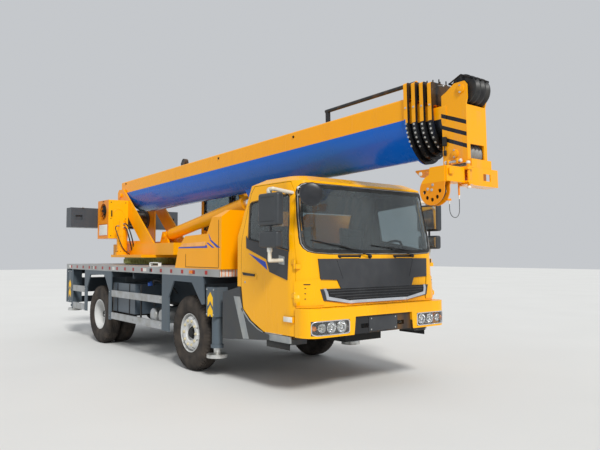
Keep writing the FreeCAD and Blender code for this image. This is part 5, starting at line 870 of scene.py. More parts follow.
# Rim enamel: silver stove enamel with brake dust in the wells; the nuts wear cream caps.
rim_paint = painted("silver_rim_enamel", "#D4D5D4", "#8E857A", roughness=0.35, coat=0.2)
coat(rim_paint, "rim_front_right", "rim_front_left", "rims_rear_right", "rims_rear_left")
cream_nylon = moulded("cream_nut_caps", "#DCD3B4", "#B8AB88", roughness=0.45)
# Hand hole shade: a near-black matt finish for discs laid where the rims' holes are, painted shade seen through them.
hand_hole_shade = moulded("wheel_shadow_black", "#101010", "#1C1A18", roughness=0.8)
for side, word in ((-1, "right"), (1, "left")):
    for place, axle_x, disc_depth, nut_height, hand_radius, hand_depth in (
            ("front", 0.66, 0.024, 0.017, 0.215, 0.037), ("rear", -2.74, 0.213, 0.030, 0.222, 0.215)):
        body = f"wheel_{place}_{word}"
        outer = side * 1.170
        if place == "front":
            dress(tyre_at(axle_x, -1.170 if side < 0 else 0.920), f"tyre_{place}_{word}_moulded", tyre_rubber, body)
            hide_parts(f"tyre_{place}_{word}")
        else:
            pair = (-1.170, -0.880) if side < 0 else (0.920, 0.630)
            twin = dress(welded([tyre_at(axle_x, y) for y in pair]), f"tyres_{place}_{word}_moulded", tyre_rubber, body)
            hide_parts(f"tyres_{place}_{word}")
        face = outer - side * disc_depth
        nuts = [((axle_x + 0.1675 * math.cos(a), face, 0.515 + 0.1675 * math.sin(a)), (0, side, 0))
                for a in (math.tau * n / 10 for n in range(10))]
        dress(studs(nuts, 0.0155, nut_height), f"nuts_{place}_{word}", cream_nylon, body)
        holes = []
        for number in range(8):
            turn = math.tau * (number + 0.5) / 8
            spot = (axle_x + hand_radius * math.cos(turn), outer - side * hand_depth, 0.515 + hand_radius * math.sin(turn))
            lean = (math.cos(turn) * 0.7, side, math.sin(turn) * 0.7) if place == "front" else (0, side, 0)
            hole = lathe([(0.0, 0.0012), (0.019, 0.0012), (0.021, 0.0004), (0.022, -0.004)], (0, 0, 0), (0, 0, 1), 18)
            hole.data.transform(Matrix.Translation(spot) @ Vector(lean).to_track_quat("Z", "Y").to_matrix().to_4x4()
                                @ Matrix.Diagonal((1.0, 0.72, 1.0, 1.0)))
            holes.append(hole)
        dress(welded(holes), f"hand_hole_shades_{place}_{word}", hand_hole_shade, body)
        hub_depth = 0.075 if place == "front" else 0.150
        hub = lathe([(0.0, 0.052), (0.052, 0.050), (0.060, 0.044), (0.064, 0.018), (0.083, 0.014), (0.086, 0.008),
                     (0.086, -0.004)], (axle_x, outer - side * hub_depth, 0.515), (0, side, 0), 32)
        hub_studs = studs([((axle_x + 0.074 * math.cos(a), outer - side * (hub_depth - 0.014),
                             0.515 + 0.074 * math.sin(a)), (0, side, 0)) for a in (math.tau * n / 8 for n in range(8))],
                          0.006, 0.006)
        dress(welded([hub, hub_studs]), f"hub_{place}_{word}", cast_black, body)
        valve = pipe([(axle_x + 0.245, outer - side * 0.060, 0.515), (axle_x + 0.236, outer - side * 0.050, 0.515),
                      (axle_x + 0.222, outer - side * 0.020, 0.515)], 0.0035, 2)
        dress(valve, f"valve_{place}_{word}", zinc, body)
bpy.data.objects.remove(tyre_model)

# Cab: a pressed steel shell and two doors in the crane's yellow, lined inside with grey
# moulded trim, behind a bonded windscreen in a black rubber gasket.
from mathutils.bvhtree import BVHTree


def hull_of(*names):
    """The outer surface of some CAD nodes, for laying trim on it."""
    points, faces = [], []
    for name in names:
        mesh = frame["nodes"][name].data
        start = len(points)
        points += [vertex.co.copy() for vertex in mesh.vertices]
        faces += [[start + i for i in polygon.vertices] for polygon in mesh.polygons]
    return BVHTree.FromPolygons(points, faces)


def lined(name, colour, lining, middle):
    """Enamel outside and grey trim on the faces that look towards the middle of a cabin."""
    material, surface, place = begin(name)
    normal = material.node_tree.nodes["Texture Coordinate"].outputs["Normal"]
    inwards = node(material, "VectorMath", {0: middle, 1: place}, operation="SUBTRACT")
    facing = node(material, "VectorMath", {0: inwards, 1: normal}, operation="DOT_PRODUCT").outputs["Value"]
    tint = node(material, "TexNoise", {"Vector": place, "Scale": 2.0})
    deeper = tuple(v * 0.94 for v in linear(colour)[:3]) + (1.0,)
    skin_colour = node(material, "MixRGB", {"Fac": tint, "Color1": colour, "Color2": deeper})
    enamel(material, surface, place, node(material, "MixRGB", {
        "Fac": above(material, facing, 0.0), "Color1": skin_colour, "Color2": lining}), YELLOW_FILM, 0.22, coat=0.25)
    return material


CAB_YELLOW = "#FFB500"
cab_paint = lined("cab_enamel", CAB_YELLOW, "#303235", (2.45, 0.0, 1.75))
coat(cab_paint, "cab_shell", "door_right", "door_left")
front_plastic = moulded("dark_grey_polypropylene", "#37393D", "#3E4043", grain=650, roughness=0.42)
coat(front_plastic, "front_fascia")
coat(moulded("mudguard_plastic", "#414448", "#4C4C49", grain=450, roughness=0.62, drift=3.0), "cab_fenders")

# Laminated glass: a faint green body, smooth, with the cabin seen darkly through it.
window_glass, glass_surface, glass_place = begin("tinted_laminated_glass")
smear = node(window_glass, "TexNoise", {"Vector": glass_place, "Scale": 4.0, "Detail": 4.0})
wire(window_glass, glass_surface, {
    "Base Color": node(window_glass, "MixRGB", {"Fac": smear, "Color1": "#C6D1D3", "Color2": "#B4C1C4"}),
    "Transmission Weight": 0.94, "IOR": 1.5,
    "Roughness": node(window_glass, "MapRange", {"Value": smear, "To Min": 0.015, "To Max": 0.06})})
coat(window_glass, "cab_glass")

cab_skin = hull_of("cab_shell", "door_right", "door_left")
fascia_skin = hull_of("front_fascia", "cab_shell")
glass_skin = hull_of("cab_glass")
bumper_skin = hull_of("bumper")
FRONT, RIGHT, LEFT = Vector((1, 0, 0)), Vector((0, -1, 0)), Vector((0, 1, 0))


def touch(surface, point, facing, default=None):
    """Where a line that comes in against facing meets a surface."""
    point = Vector(point)
    start = point - facing * point.dot(facing) + facing * 6.0
    hit = surface.ray_cast(start, -facing)[0]
    return default if hit is None else hit


def skin(outline, facing, lift=0.0005, thick=0.003, step=0.05, surface=None):
    """A thin sheet that follows the cab's surface inside an outline of (x, y, z) points."""
    fresh()
    flat = [Vector(p) - facing * Vector(p).dot(facing) + facing * 6.0 for p in outline]
    mesh = bpy.data.meshes.new("sheet")
    mesh.from_pydata(flat, [], [range(len(flat))])
    piece = bpy.data.objects.new("sheet", mesh)
    bpy.context.scene.collection.objects.link(piece)
    bpy.context.view_layer.objects.active = piece
    piece.select_set(True)
    bpy.ops.object.mode_set(mode="EDIT")
    for across_sheet in (facing.cross(Vector((0, 0, 1))).normalized(), Vector((0, 0, 1))):
        reach = sorted(p.dot(across_sheet) for p in flat)
        count = int((reach[-1] - reach[0]) / step)
        for number in range(1, count + 1):
            at = reach[0] + (reach[-1] - reach[0]) * number / (count + 1)
            bpy.ops.mesh.select_all(action="SELECT")
            bpy.ops.mesh.bisect(plane_co=across_sheet * at, plane_no=across_sheet)
    bpy.ops.object.mode_set(mode="OBJECT")
    hits = [touch(surface or cab_skin, vertex.co, facing) for vertex in mesh.vertices]
    known = [hit for hit in hits if hit is not None]
    for vertex, hit in zip(mesh.vertices, hits):
        if hit is None:
            here = vertex.co - facing * vertex.co.dot(facing)
            near = min(known, key=lambda h: (h - facing * h.dot(facing) - here).length)
            hit = here + facing * near.dot(facing)
        vertex.co = hit + facing * lift
    mesh.update()
    if sum((p.normal * p.area).dot(facing) for p in mesh.polygons) < 0:
        bpy.ops.object.mode_set(mode="EDIT")
        bpy.ops.mesh.select_all(action="SELECT")
        bpy.ops.mesh.flip_normals()
        bpy.ops.object.mode_set(mode="OBJECT")
    solid = piece.modifiers.new("thickness", "SOLIDIFY")
    solid.thickness = thick
    solid.offset = 1.0
    bpy.ops.object.modifier_apply(modifier=solid.name)
    return piece


def stations(outline, step=0.035):
    """Points round a closed outline of Vectors, no further apart than a step."""
    made = []
    for here, there in zip(outline, outline[1:] + outline[:1]):
        count = max(1, round((there - here).length / step))
        made += [here.lerp(there, n / count) for n in range(count)]
    return made


def gasket(outline, facing, profile, deep):
    """A rubber section round an opening. Profile: distance inwards, height, and 1 where it
    lies on the skin or 0 where it lies on the glass, which deep finds."""
    ring = stations([Vector(p) for p in outline])
    middle = sum(ring, Vector()) / len(ring)
    points = []
    for number, here in enumerate(ring):
        along_ring = (ring[(number + 1) % len(ring)] - ring[number - 1]).normalized()
        inwards = along_ring.cross(facing).normalized()
        if inwards.dot(middle - here) < 0:
            inwards = -inwards
        on_skin = touch(cab_skin, here - inwards * 0.002, facing, here)
        for inset, height, share in profile:
            spot = here + inwards * inset
            on_glass = deep(spot, on_skin)
            over = touch(cab_skin, spot, facing, on_glass)
            if abs((over - on_skin).dot(facing)) > 0.06:
                over = on_glass
            depth = over.dot(facing) * share + on_glass.dot(facing) * (1 - share) + height
            points.append(spot - facing * spot.dot(facing) + facing * depth)
    wide = len(profile)
    faces = []
    for number in range(len(ring)):
        after = (number + 1) % len(ring)
        for place in range(wide):
            beside = (place + 1) % wide
            faces.append((number * wide + place, number * wide + beside, after * wide + beside, after * wide + place))
    mesh = bpy.data.meshes.new("gasket")
    mesh.from_pydata(points, [], faces)
    piece = bpy.data.objects.new("gasket", mesh)
    bpy.context.scene.collection.objects.link(piece)
    fresh()
    bpy.context.view_layer.objects.active = piece
    piece.select_set(True)
    bpy.ops.object.mode_set(mode="EDIT")
    bpy.ops.mesh.select_all(action="SELECT")
    bpy.ops.mesh.normals_make_consistent(inside=False)
    bpy.ops.object.mode_set(mode="OBJECT")
    return piece


rubber = moulded("epdm_rubber", "#1D1E20", "#35342F", grain=800, roughness=0.48)
screen_right = [(0, -0.72, 1.599), (0, -0.945, 1.611), (0, -1.015, 1.628), (0, -1.055, 1.662), (0, -1.078, 1.715),
                (0, -1.083, 1.79), (0, -1.071, 2.031), (0, -1.046, 2.300), (0, -1.030, 2.352), (0, -0.998, 2.386),
                (0, -0.95, 2.400)]
screen = screen_right + [(0, -y, z) for _, y, z in reversed(screen_right)]


def on_windscreen(point, default):
    return touch(glass_skin, point, FRONT, default - FRONT * 0.02)


screen_gasket = gasket(screen, FRONT, [
    (-0.004, 0.0005, 1), (0.0, 0.006, 1), (0.010, 0.009, 1), (0.022, 0.009, 1), (0.036, 0.008, 1), (0.046, 0.008, 0),
    (0.052, 0.003, 0), (0.052, -0.003, 0), (0.0, -0.004, 1)], on_windscreen)
dress(screen_gasket, "windscreen_gasket", rubber, "chassis", 50)
bright_line = gasket(screen, FRONT, [(0.004, 0.0075, 1), (0.0055, 0.0105, 1), (0.0085, 0.0115, 1),
                                     (0.010, 0.0085, 1)], on_windscreen)
dress(bright_line, "windscreen_bead", zinc, "chassis", 50)

# Door windows: toughened glass dropped in its frame, a rubber seal, the black moulded panel
# under it, the pull handle in its recess, and stripe films.
door_window = [(2.115, 1.775), (2.075, 2.180), (2.085, 2.212), (2.110, 2.226), (2.790, 2.275), (2.818, 2.270),
               (2.836, 2.248), (2.882, 1.938), (2.905, 1.635)]
door_trim = [(2.068, 1.820), (2.076, 1.672), (2.490, 1.541), (2.552, 1.397), (2.889, 1.312), (2.903, 1.599),
             (2.907, 1.633), (2.115, 1.775)]
grip_black = moulded("handle_black_abs", "#191A1C", "#303030", roughness=0.4)
pale_plastic = moulded("light_grey_abs", "#8F9496", "#A3A5A2", roughness=0.4)
for facing, word, body in ((RIGHT, "right", "cab_door_right"), (LEFT, "left", "cab_door_left")):
    def side_on(outline):
        """An outline in the side view as points on this side."""
        return [(x, 0.0, z) for x, z in outline]

    def pane_depth(point, default):
        """The glass lies a little inside the door's skin, whose place is read behind the window."""
        beside = touch(cab_skin, (2.02, 0, min(max(point[2], 1.70), 2.26)), facing, default)
        return beside - facing * 0.016

    seal = gasket(side_on(door_window), facing, [
        (-0.010, 0.0005, 1), (-0.006, 0.005, 1), (0.004, 0.006, 1), (0.016, 0.004, 0), (0.018, -0.004, 0),
        (-0.004, -0.004, 1)], pane_depth)
    dress(seal, f"door_seal_{word}", rubber, body, 50)
    pane = board([(x, z) for x, z in door_window], "XZ", -0.002, 0.002)
    fresh()
    bpy.context.view_layer.objects.active = pane
    pane.select_set(True)
    bpy.ops.object.mode_set(mode="EDIT")
    for number in range(1, 12):
        bpy.ops.mesh.select_all(action="SELECT")
        bpy.ops.mesh.bisect(plane_co=(0, 0, 1.60 + 0.06 * number), plane_no=(0, 0, 1))
    bpy.ops.object.mode_set(mode="OBJECT")
    for vertex in pane.data.vertices:
        vertex.co.y += pane_depth(vertex.co, Vector((0, facing.y * 1.13, 0))).y
    dress(pane, f"door_glass_{word}", window_glass, body)
    dress(skin(side_on(door_trim), facing, 0.0005, 0.006), f"door_panel_{word}", front_plastic, body)
    dress(skin(side_on([(2.115, 1.612), (2.470, 1.510), (2.512, 1.415)]), facing, 0.0005, 0.0008),
          f"door_blue_stripe_{word}", blue_film, body)
    plate = skin(side_on([(2.742, 1.588), (2.842, 1.572), (2.842, 1.480), (2.742, 1.490)]), facing, 0.006, 0.006)
    dress(plate, f"door_grey_pad_{word}", pale_plastic, body)
    cup = skin(side_on([(1.985, 1.392), (2.010, 1.400), (2.262, 1.378), (2.300, 1.350), (2.292, 1.300), (2.240, 1.288),
                        (2.040, 1.300), (1.990, 1.330)]), facing, 0.0003, 0.0025)
    dress(cup, f"door_handle_cup_{word}", cab_paint, body)
    grip = skin(side_on([(1.995, 1.380), (2.262, 1.362), (2.252, 1.336), (2.020, 1.346)]), facing, 0.002, 0.012)
    dress(grip, f"door_handle_{word}", grip_black, body)
    at = touch(cab_skin, (2.045, 0, 1.262), facing)
    lock = lathe([(0.0, 0.004), (0.0115, 0.004), (0.013, 0.002), (0.013, -0.003)], at, facing, 18)
    dress(lock, f"door_lock_{word}", zinc, body)
    sill_low, sill_high = sorted((facing.y * 1.118, facing.y * 1.146))
    dress(slab((2.448, sill_low, 0.616), (2.925, sill_high, 0.696), 0.006), f"step_sill_{word}", pale_plastic, "chassis")
    lamp_low, lamp_high = sorted((facing.y * 1.1625, facing.y * 1.170))
    side_lens = slab((2.838, lamp_low, 0.857), (2.992, lamp_high, 0.913), 0.003)
    dress(side_lens, f"side_lamp_{word}", moulded(f"clear_lamp_lens_{word}", "#EDEBE4", "#D9D3C4", roughness=0.15), body)

# Front of the cab: a moulded fascia with a black grille slot over a chromed strip, recessed
# grips for cleaning the screen, raised corner panels and two wipers.


def mirrored(points):
    """The same outline on the other side of the cab."""
    return [(x, -y, z) for x, y, z in reversed(points)]


def front_on(outline):
    """An outline in the front view, (y, z), as points."""
    return [(0.0, y, z) for y, z in outline]


slot_right = [(0.0, 1.213), (-0.812, 1.213), (-0.790, 1.132), (-0.490, 1.078), (0.0, 1.078)]
slot_sheets = [skin(front_on(slot_right), FRONT, 0.0005, 0.002, surface=fascia_skin),
               skin(mirrored(front_on(slot_right)), FRONT, 0.0005, 0.002, surface=fascia_skin)]
gloss_black = moulded("gloss_black_abs", "#121315", "#202123", grain=1500, roughness=0.22)
dress(welded(slot_sheets), "grille_slot", gloss_black, "chassis")
bars = []
for low, reach in ((1.190, 0.795), (1.160, 0.775), (1.128, 0.700), (1.096, 0.520)):
    bars.append(skin(front_on([(-reach, low), (reach, low), (reach, low + 0.009), (-reach, low + 0.009)]), FRONT,
                     0.002, 0.007, surface=fascia_skin))
dress(welded(bars), "grille_bars", front_plastic, "chassis")
strip_right = [
    [(-0.852, 1.216), (-0.812, 1.216), (-0.790, 1.130), (-0.822, 1.096)],
    [(-0.822, 1.096), (-0.790, 1.130), (-0.490, 1.078), (-0.480, 1.045)],
    [(-0.482, 1.045), (-0.492, 1.078), (0.0, 1.078), (0.0, 1.045)]]
strips = []
for outline in strip_right:
    strips.append(skin(front_on(outline), FRONT, 0.001, 0.011, surface=fascia_skin))
    strips.append(skin(mirrored(front_on(outline)), FRONT, 0.001, 0.011, surface=fascia_skin))
satin_chrome = plated("satin_chromed_abs", "#E4E7EC", "#C9CCD2", roughness=0.16, scale=4.0)
dress(welded(strips), "grille_strip", satin_chrome, "chassis")
panel_lines = []
for side in (-1, 1):
    panel_lines.append(skin(front_on([(side * 0.640, 1.540), (side * 0.636, 1.540), (side * 0.556, 1.325),
                                      (side * 0.560, 1.325)][::side]), FRONT, 0.0003, 0.001, surface=fascia_skin))
dress(welded(panel_lines), "fascia_seams", gloss_black, "chassis")
grips = []
for low_y, high_y in ((-0.610, -0.240), (0.300, 0.680)):
    grips.append(skin(front_on([
        (low_y, 1.584), (low_y + 0.012, 1.590), (high_y - 0.012, 1.590), (high_y, 1.584), (high_y - 0.010, 1.562),
        (high_y - 0.040, 1.550), (low_y + 0.040, 1.550), (low_y + 0.010, 1.562)]), FRONT, 0.0003, 0.002))
dress(welded(grips), "screen_grips", gloss_black, "chassis")
lips = [skin(front_on([(low_y + 0.03, 1.553), (high_y - 0.03, 1.553), (high_y - 0.05, 1.562), (low_y + 0.05, 1.562)]),
             FRONT, 0.002, 0.010) for low_y, high_y in ((-0.610, -0.240), (0.300, 0.680))]
dress(welded(lips), "screen_grip_lips", cab_paint, "chassis")

# Corner panels: pressed covers over the cab's front corners, 8 mm proud, with four slots.
for side, word in ((-1, "right"), (1, "left")):
    outward = Vector((0.72, side * 0.694, 0)).normalized()
    corner = [(2.975, side * 1.13, 1.302), (3.093, side * 1.034, 1.318), (3.140, side * 0.895, 1.330),
              (3.150, side * 0.845, 1.060), (3.150, side * 0.850, 1.040), (2.990, side * 1.125, 1.040)]
    panel = skin(corner[::-side], outward, 0.0005, 0.009, 0.04)
    dress(panel, f"corner_panel_{word}", cab_paint, "chassis")
    slots = []
    for low, high, wide in ((1.262, 1.274, 0.075), (1.222, 1.232, 0.018), (1.165, 1.175, 0.018), (1.108, 1.118, 0.018)):
        middle = Vector((3.085, side * 1.020, 0))
        along_panel = Vector((0.694, -side * 0.72, 0)).normalized()
        ends = [middle - along_panel * (0.03 + wide * 0.2), middle + along_panel * (wide * 0.8 - 0.03)]
        slots.append(skin([(ends[0].x, ends[0].y, low), (ends[1].x, ends[1].y, low), (ends[1].x, ends[1].y, high),
                           (ends[0].x, ends[0].y, high)][::-side], outward, 0.010, 0.0012, 0.04))
    dress(welded(slots), f"corner_slots_{word}", gloss_black, "chassis")

# Wipers: a cast pivot, a tapered black arm and a rubber blade that lies on the glass.
for number, (pivot, elbow, low_end, high_end) in enumerate((
        ((-0.104, 1.575), (-0.56, 1.700), (-0.254, 1.642), (-0.975, 1.756)),
        ((0.640, 1.580), (0.22, 1.690), (0.600, 1.648), (-0.060, 1.706)))):
    def over_glass(y, z, lift):
        """A point over the windscreen, or over the shell beside it."""
        hit = touch(glass_skin, (0, y, z), FRONT) or touch(cab_skin, (0, y, z), FRONT)
        return (hit.x + lift, y, z)

    base = touch(cab_skin, (0, *pivot), FRONT)
    hub = lathe([(0.0, 0.034), (0.012, 0.033), (0.017, 0.028), (0.019, 0.010), (0.026, 0.006), (0.027, -0.006)],
                base, FRONT, 24)
    ride = [(base.x + 0.026, *pivot)]
    for share in (0.3, 0.6, 0.85, 1.0):
        y = pivot[0] + (elbow[0] - pivot[0]) * share
        z = pivot[1] + (elbow[1] - pivot[1]) * share
        ride.append(over_glass(y, z, 0.045 - 0.022 * share))
    arm = pipe(ride, 0.0065, 2, 3)
    spine, lip = [], []
    for share in (0, 0.125, 0.25, 0.375, 0.5, 0.625, 0.75, 0.875, 1):
        y = low_end[0] + (high_end[0] - low_end[0]) * share
        z = low_end[1] + (high_end[1] - low_end[1]) * share
        spine.append(over_glass(y, z, 0.015 + 0.010 * math.sin(math.pi * share)))
        lip.append(over_glass(y, z, 0.005))
    blade = [pipe(spine, 0.004, 2, 3), pipe(lip, 0.0045, 2, 3)]
    dress(welded([hub, arm] + blade), f"wiper_{number + 1}", grip_black, "chassis")

# Bumper: a bowed steel shell in the cab's yellow; its middle is recessed and black, with two
# openings and a blank plate, and a headlamp sits in a pocket at each end.
bumper_paint, bumper_surface, bumper_place = begin("bumper_enamel")
bumper_axes = node(bumper_paint, "SeparateXYZ", {0: bumper_place}).outputs
sideways = node(bumper_paint, "Math", {0: bumper_axes[1]}, operation="ABSOLUTE")
flare = node(bumper_paint, "Math", {0: bumper_axes[2], 1: 0.12, 2: sideways}, operation="MULTIPLY_ADD")
in_recess = node(bumper_paint, "Math", {0: above(bumper_paint, 0.5745, flare), 1: above(
    bumper_paint, 0.9005, bumper_axes[2])}, operation="MULTIPLY")
enamel(bumper_paint, bumper_surface, bumper_place, node(bumper_paint, "MixRGB", {
    "Fac": in_recess, "Color1": CAB_YELLOW, "Color2": "#232427"}), YELLOW_FILM, 0.24, coat=0.2)
coat(bumper_paint, "bumper")
plate_face = touch(bumper_skin, (0, 0.0, 0.80), FRONT)
blank_plate = slab((plate_face.x - 0.002, -0.235, 0.715), (plate_face.x + 0.008, 0.235, 0.880), 0.004)
dress(blank_plate, "blank_plate", front_plastic, "chassis")
dress(studs([((plate_face.x + 0.008, y, z), (1, 0, 0)) for y in (-0.20, 0.20) for z in (0.735, 0.860)], 0.006, 0.004),
      "plate_bolts", zinc, "chassis")
lamp_skin = hull_of("lamps")
for side, word in ((-1, "right"), (1, "left")):
    rim_line = stations([Vector((0, side * y, z)) for y, z in (
        (0.572, 0.735), (0.566, 0.760), (0.566, 0.850), (0.575, 0.870), (0.60, 0.877), (1.035, 0.877), (1.070, 0.868),
        (1.085, 0.845), (1.085, 0.755), (1.070, 0.737), (1.035, 0.728), (0.60, 0.728))], 0.04)
    bezel_points = []
    for spot in rim_line:
        hit = touch(lamp_skin, (0, side * min(max(abs(spot.y), 0.565), 1.083), min(max(spot.z, 0.730), 0.875)), FRONT)
        bezel_points.append((hit.x + 0.005, spot.y, spot.z))
    bezel = pipe(bezel_points + bezel_points[:2], 0.0065, 3, 3)
    dress(bezel, f"headlamp_bezel_{word}", satin_chrome, "chassis")

# Headlamps: a clear moulded lens over two bright reflector bowls and an amber turn lamp.
lens, lens_surface, lens_place = begin("clear_polycarbonate")
flutes = node(lens, "TexWave", {"Vector": lens_place, "Scale": 28.0}, bands_direction="Y")
wire(lens, lens_surface, {
    "Base Color": "#F4F7F8", "Transmission Weight": 0.95, "IOR": 1.38, "Roughness": 0.03,
    "Normal": node(lens, "Bump", {"Height": flutes, "Strength": 0.12, "Distance": 0.001})})
tail_red = moulded("red_acrylic_lens", "#A3140F", "#8A1C14", grain=200, roughness=0.2)
coat(lens, "lamps")
bright = plated("vapour_aluminised_reflector", "#F3F4F5", "#DADBDD", roughness=0.06, scale=6.0)
for side, word in ((-1, "right"), (1, "left")):
    bowls, bulbs = [], []
    for y, size in ((0.665, 0.064), (0.815, 0.062), (0.945, 0.048)):
        face = touch(lamp_skin, (0, side * y, 0.80), FRONT)
        spot = (face.x - 0.060, side * y, 0.802)
        lean = (1, side * (0.04 if y < 0.9 else 0.20), 0)
        bowls.append(lathe([(size + 0.004, 0.050), (size, 0.052), (size * 0.92, 0.036), (size * 0.70, 0.014),
                            (size * 0.40, 0.003), (0.012, 0.0), (0.012, -0.006), (size * 0.45, -0.003),
                            (size * 0.8, 0.012), (size + 0.002, 0.036), (size + 0.004, 0.050)], spot, lean, 32))
        bulbs.append(lathe([(0.0, 0.030), (0.008, 0.029), (0.011, 0.022), (0.011, 0.0), (0.0, 0.0)], spot, lean, 16))
    dress(welded(bowls), f"headlamp_bowls_{word}", bright, "chassis")
    dress(welded(bulbs), f"headlamp_bulbs_{word}", gland_nylon, "chassis")
    face = touch(lamp_skin, (0, side * 1.045, 0.80), FRONT)
    dress(lathe([(0.0, 0.024), (0.018, 0.022), (0.027, 0.014), (0.030, 0.0), (0.030, -0.012), (0.0, -0.012)],
                (face.x - 0.040, side * 1.040, 0.80), (1, side * 0.5, 0), 20), f"turn_lamp_{word}", amber_lens, "chassis")
    low, high = sorted((side * 0.78, side * 1.09))
    tail = [slab((-4.4745, low + 0.006, 1.220), (-4.467, high - 0.006, 1.295), 0.003)]
    dress(tail[0], f"tail_lamp_{word}", tail_red, "chassis")
    white_low, white_high = sorted((side * 0.79, side * 0.86))
    dress(slab((-4.478, white_low, 1.226), (-4.470, white_high, 1.289), 0.002), f"reversing_lamp_{word}", gland_nylon,
          "chassis")

# Mirrors: moulded housings on cream painted tube arms, their glasses on the inner side, and
# a round one on a black bracket at the right front pillar.
mirror_paint, mirror_surface, mirror_place = begin("mirror_housing_and_arm")
mirror_axes = node(mirror_paint, "SeparateXYZ", {0: mirror_place}).outputs
arm_above = above(mirror_paint, mirror_axes[2], 2.2715)
arm_below = above(mirror_paint, 1.6685, mirror_axes[2])
is_arm = node(mirror_paint, "Math", {0: arm_above, 1: arm_below}, operation="MAXIMUM")
mirror_grain = node(mirror_paint, "TexNoise", {"Vector": mirror_place, "Scale": 700.0})
mirror_drift = node(mirror_paint, "TexNoise", {"Vector": mirror_place, "Scale": 8.0})
dark_housing = node(mirror_paint, "MixRGB", {"Fac": mirror_drift, "Color1": "#2E3236", "Color2": "#3D4145"})
wire(mirror_paint, mirror_surface, {
    "Base Color": node(mirror_paint, "MixRGB", {"Fac": is_arm, "Color1": dark_housing, "Color2": "#DDD6C6"}),
    "Roughness": 0.42,
    "Normal": node(mirror_paint, "Bump", {"Height": mirror_grain, "Strength": 0.2, "Distance": 0.0003})})
coat(mirror_paint, "mirrors_right", "mirrors_left")
coat(moulded("front_mirror_plastic", "#212327", "#303236", roughness=0.4), "front_mirror")
silver = plated("mirror_silver", "#DFE3E6", "#C8CCD0", roughness=0.03, scale=3.0)
for side, word in ((-1, "right"), (1, "left")):
    low, high = sorted((side * 1.2845, side * 1.2885))
    glasses = [slab((2.668, low, 1.936), (2.982, high, 2.244), 0.0015), slab((2.680, low, 1.692), (2.970, high, 1.828), 0.0015)]
    dress(welded(glasses), f"mirror_glass_{word}", silver, f"cab_door_{word}")
    ring_low, ring_high = sorted((side * 1.382, side * 1.3845))
    ribs = [slab((2.70, ring_low, 1.955), (2.95, ring_high, 1.962), 0.001, 1), slab((2.70, ring_low, 2.218), (2.95, ring_high, 2.225), 0.001, 1)]
    dress(welded(ribs), f"mirror_ribs_{word}", grip_black, f"cab_door_{word}")
    joints = [lathe([(0.0, 0.030), (0.024, 0.028), (0.030, 0.018), (0.030, -0.018), (0.024, -0.028), (0.0, -0.030)],
                    (x, side * 1.335, z), (0, 0, 1), 20) for x, z in ((2.80, 2.292), (2.81, 1.648))]
    dress(welded(joints), f"mirror_joints_{word}", gland_nylon, f"cab_door_{word}")
disc_way = Vector((0.8, -0.6, 0))
disc_middle = Vector((3.262, -1.120, 2.235))
dome = lathe([(0.0, 0.011), (0.040, 0.010), (0.080, 0.006), (0.112, 0.001), (0.122, -0.004), (0.126, -0.010),
              (0.126, -0.020), (0.122, -0.026)], disc_middle + disc_way * 0.050, disc_way, 40)
dress(dome, "front_mirror_dome", moulded("front_mirror_dome_plastic", "#1E2024", "#2C2E33", roughness=0.33), "chassis")
ball = lathe([(0.0, 0.020), (0.010, 0.0175), (0.0175, 0.010), (0.020, 0.0), (0.0175, -0.010), (0.010, -0.0175),
              (0.0, -0.020)], (3.060, -1.130, 2.320), (0, 0, 1), 20)
clamp = lathe([(0.0, 0.018), (0.014, 0.018), (0.018, 0.012), (0.018, -0.012), (0.014, -0.018), (0.0, -0.018)],
              (2.950, -1.045, 2.272), (0.8, -0.6, 0.3), 18)
dress(welded([ball, clamp]), "front_mirror_joints", gland_nylon, "chassis")

# Mudguards: the moulded covers behind the doors, with a slanted light grey strip, a thinner
# strip along the door's curved edge, ribbed treads on the steps and black valances.
for side, word in ((-1, "right"), (1, "left")):
    low, high = sorted((side * 1.1595, side * 1.1625))
    strip = board([(1.808, 1.080), (1.944, 1.082), (2.147, 0.590), (2.022, 0.580)], "XZ", low, high)
    edge = board([(1.976, 0.930), (1.990, 0.952), (2.152, 0.818), (2.330, 0.735), (2.430, 0.706), (2.430, 0.696),
                  (2.325, 0.722), (2.143, 0.804)], "XZ", low, high)
    dress(strip, f"mudguard_strip_{word}", pale_plastic, "chassis")
    dress(edge, f"mudguard_edge_{word}", pale_plastic, "chassis")
    tread_low, tread_high = sorted((side * 0.91, side * 1.11))
    ribs = [slab((2.56 + 0.04 * n, tread_low, 0.659), (2.572 + 0.04 * n, tread_high, 0.664), 0.001, 1)
            for n in range(9)]
    dress(welded(ribs), f"step_ribs_{word}", zinc, "chassis")
    valance_low, valance_high = sorted((side * 1.118, side * 1.128))
    dress(slab((2.46, valance_low, 0.540), (2.90, valance_high, 0.612), 0.004), f"step_valance_{word}", fan_black, "chassis")

# Seats: foam pads in woven polyester covers over steel pans, sewn in channels with a piped
# edge. Foam under a tight cover is a crowned closed form, so each pad is swelled by cloth.
seat_cloth, seat_surface, seat_place = begin("woven_polyester_seat_cloth")
weft = node(seat_cloth, "TexWave", {"Vector": seat_place, "Scale": 210.0}, bands_direction="X")
warp = node(seat_cloth, "TexWave", {"Vector": seat_place, "Scale": 210.0}, bands_direction="Y")
rise = node(seat_cloth, "TexWave", {"Vector": seat_place, "Scale": 210.0}, bands_direction="Z")
weave = node(seat_cloth, "Math", {0: node(seat_cloth, "Math", {0: weft.outputs[1], 1: warp.outputs[1]},
                                          operation="MULTIPLY"), 1: rise.outputs[1]}, operation="ADD")
rubbed = node(seat_cloth, "TexNoise", {"Vector": seat_place, "Scale": 6.0, "Detail": 5.0})
wire(seat_cloth, seat_surface, {
    "Base Color": node(seat_cloth, "MixRGB", {"Fac": rubbed, "Color1": "#3B4046", "Color2": "#565B60"}),
    "Roughness": 0.9, "Sheen Weight": 0.3,
    "Normal": node(seat_cloth, "Bump", {"Height": weave, "Strength": 0.25, "Distance": 0.0004})})
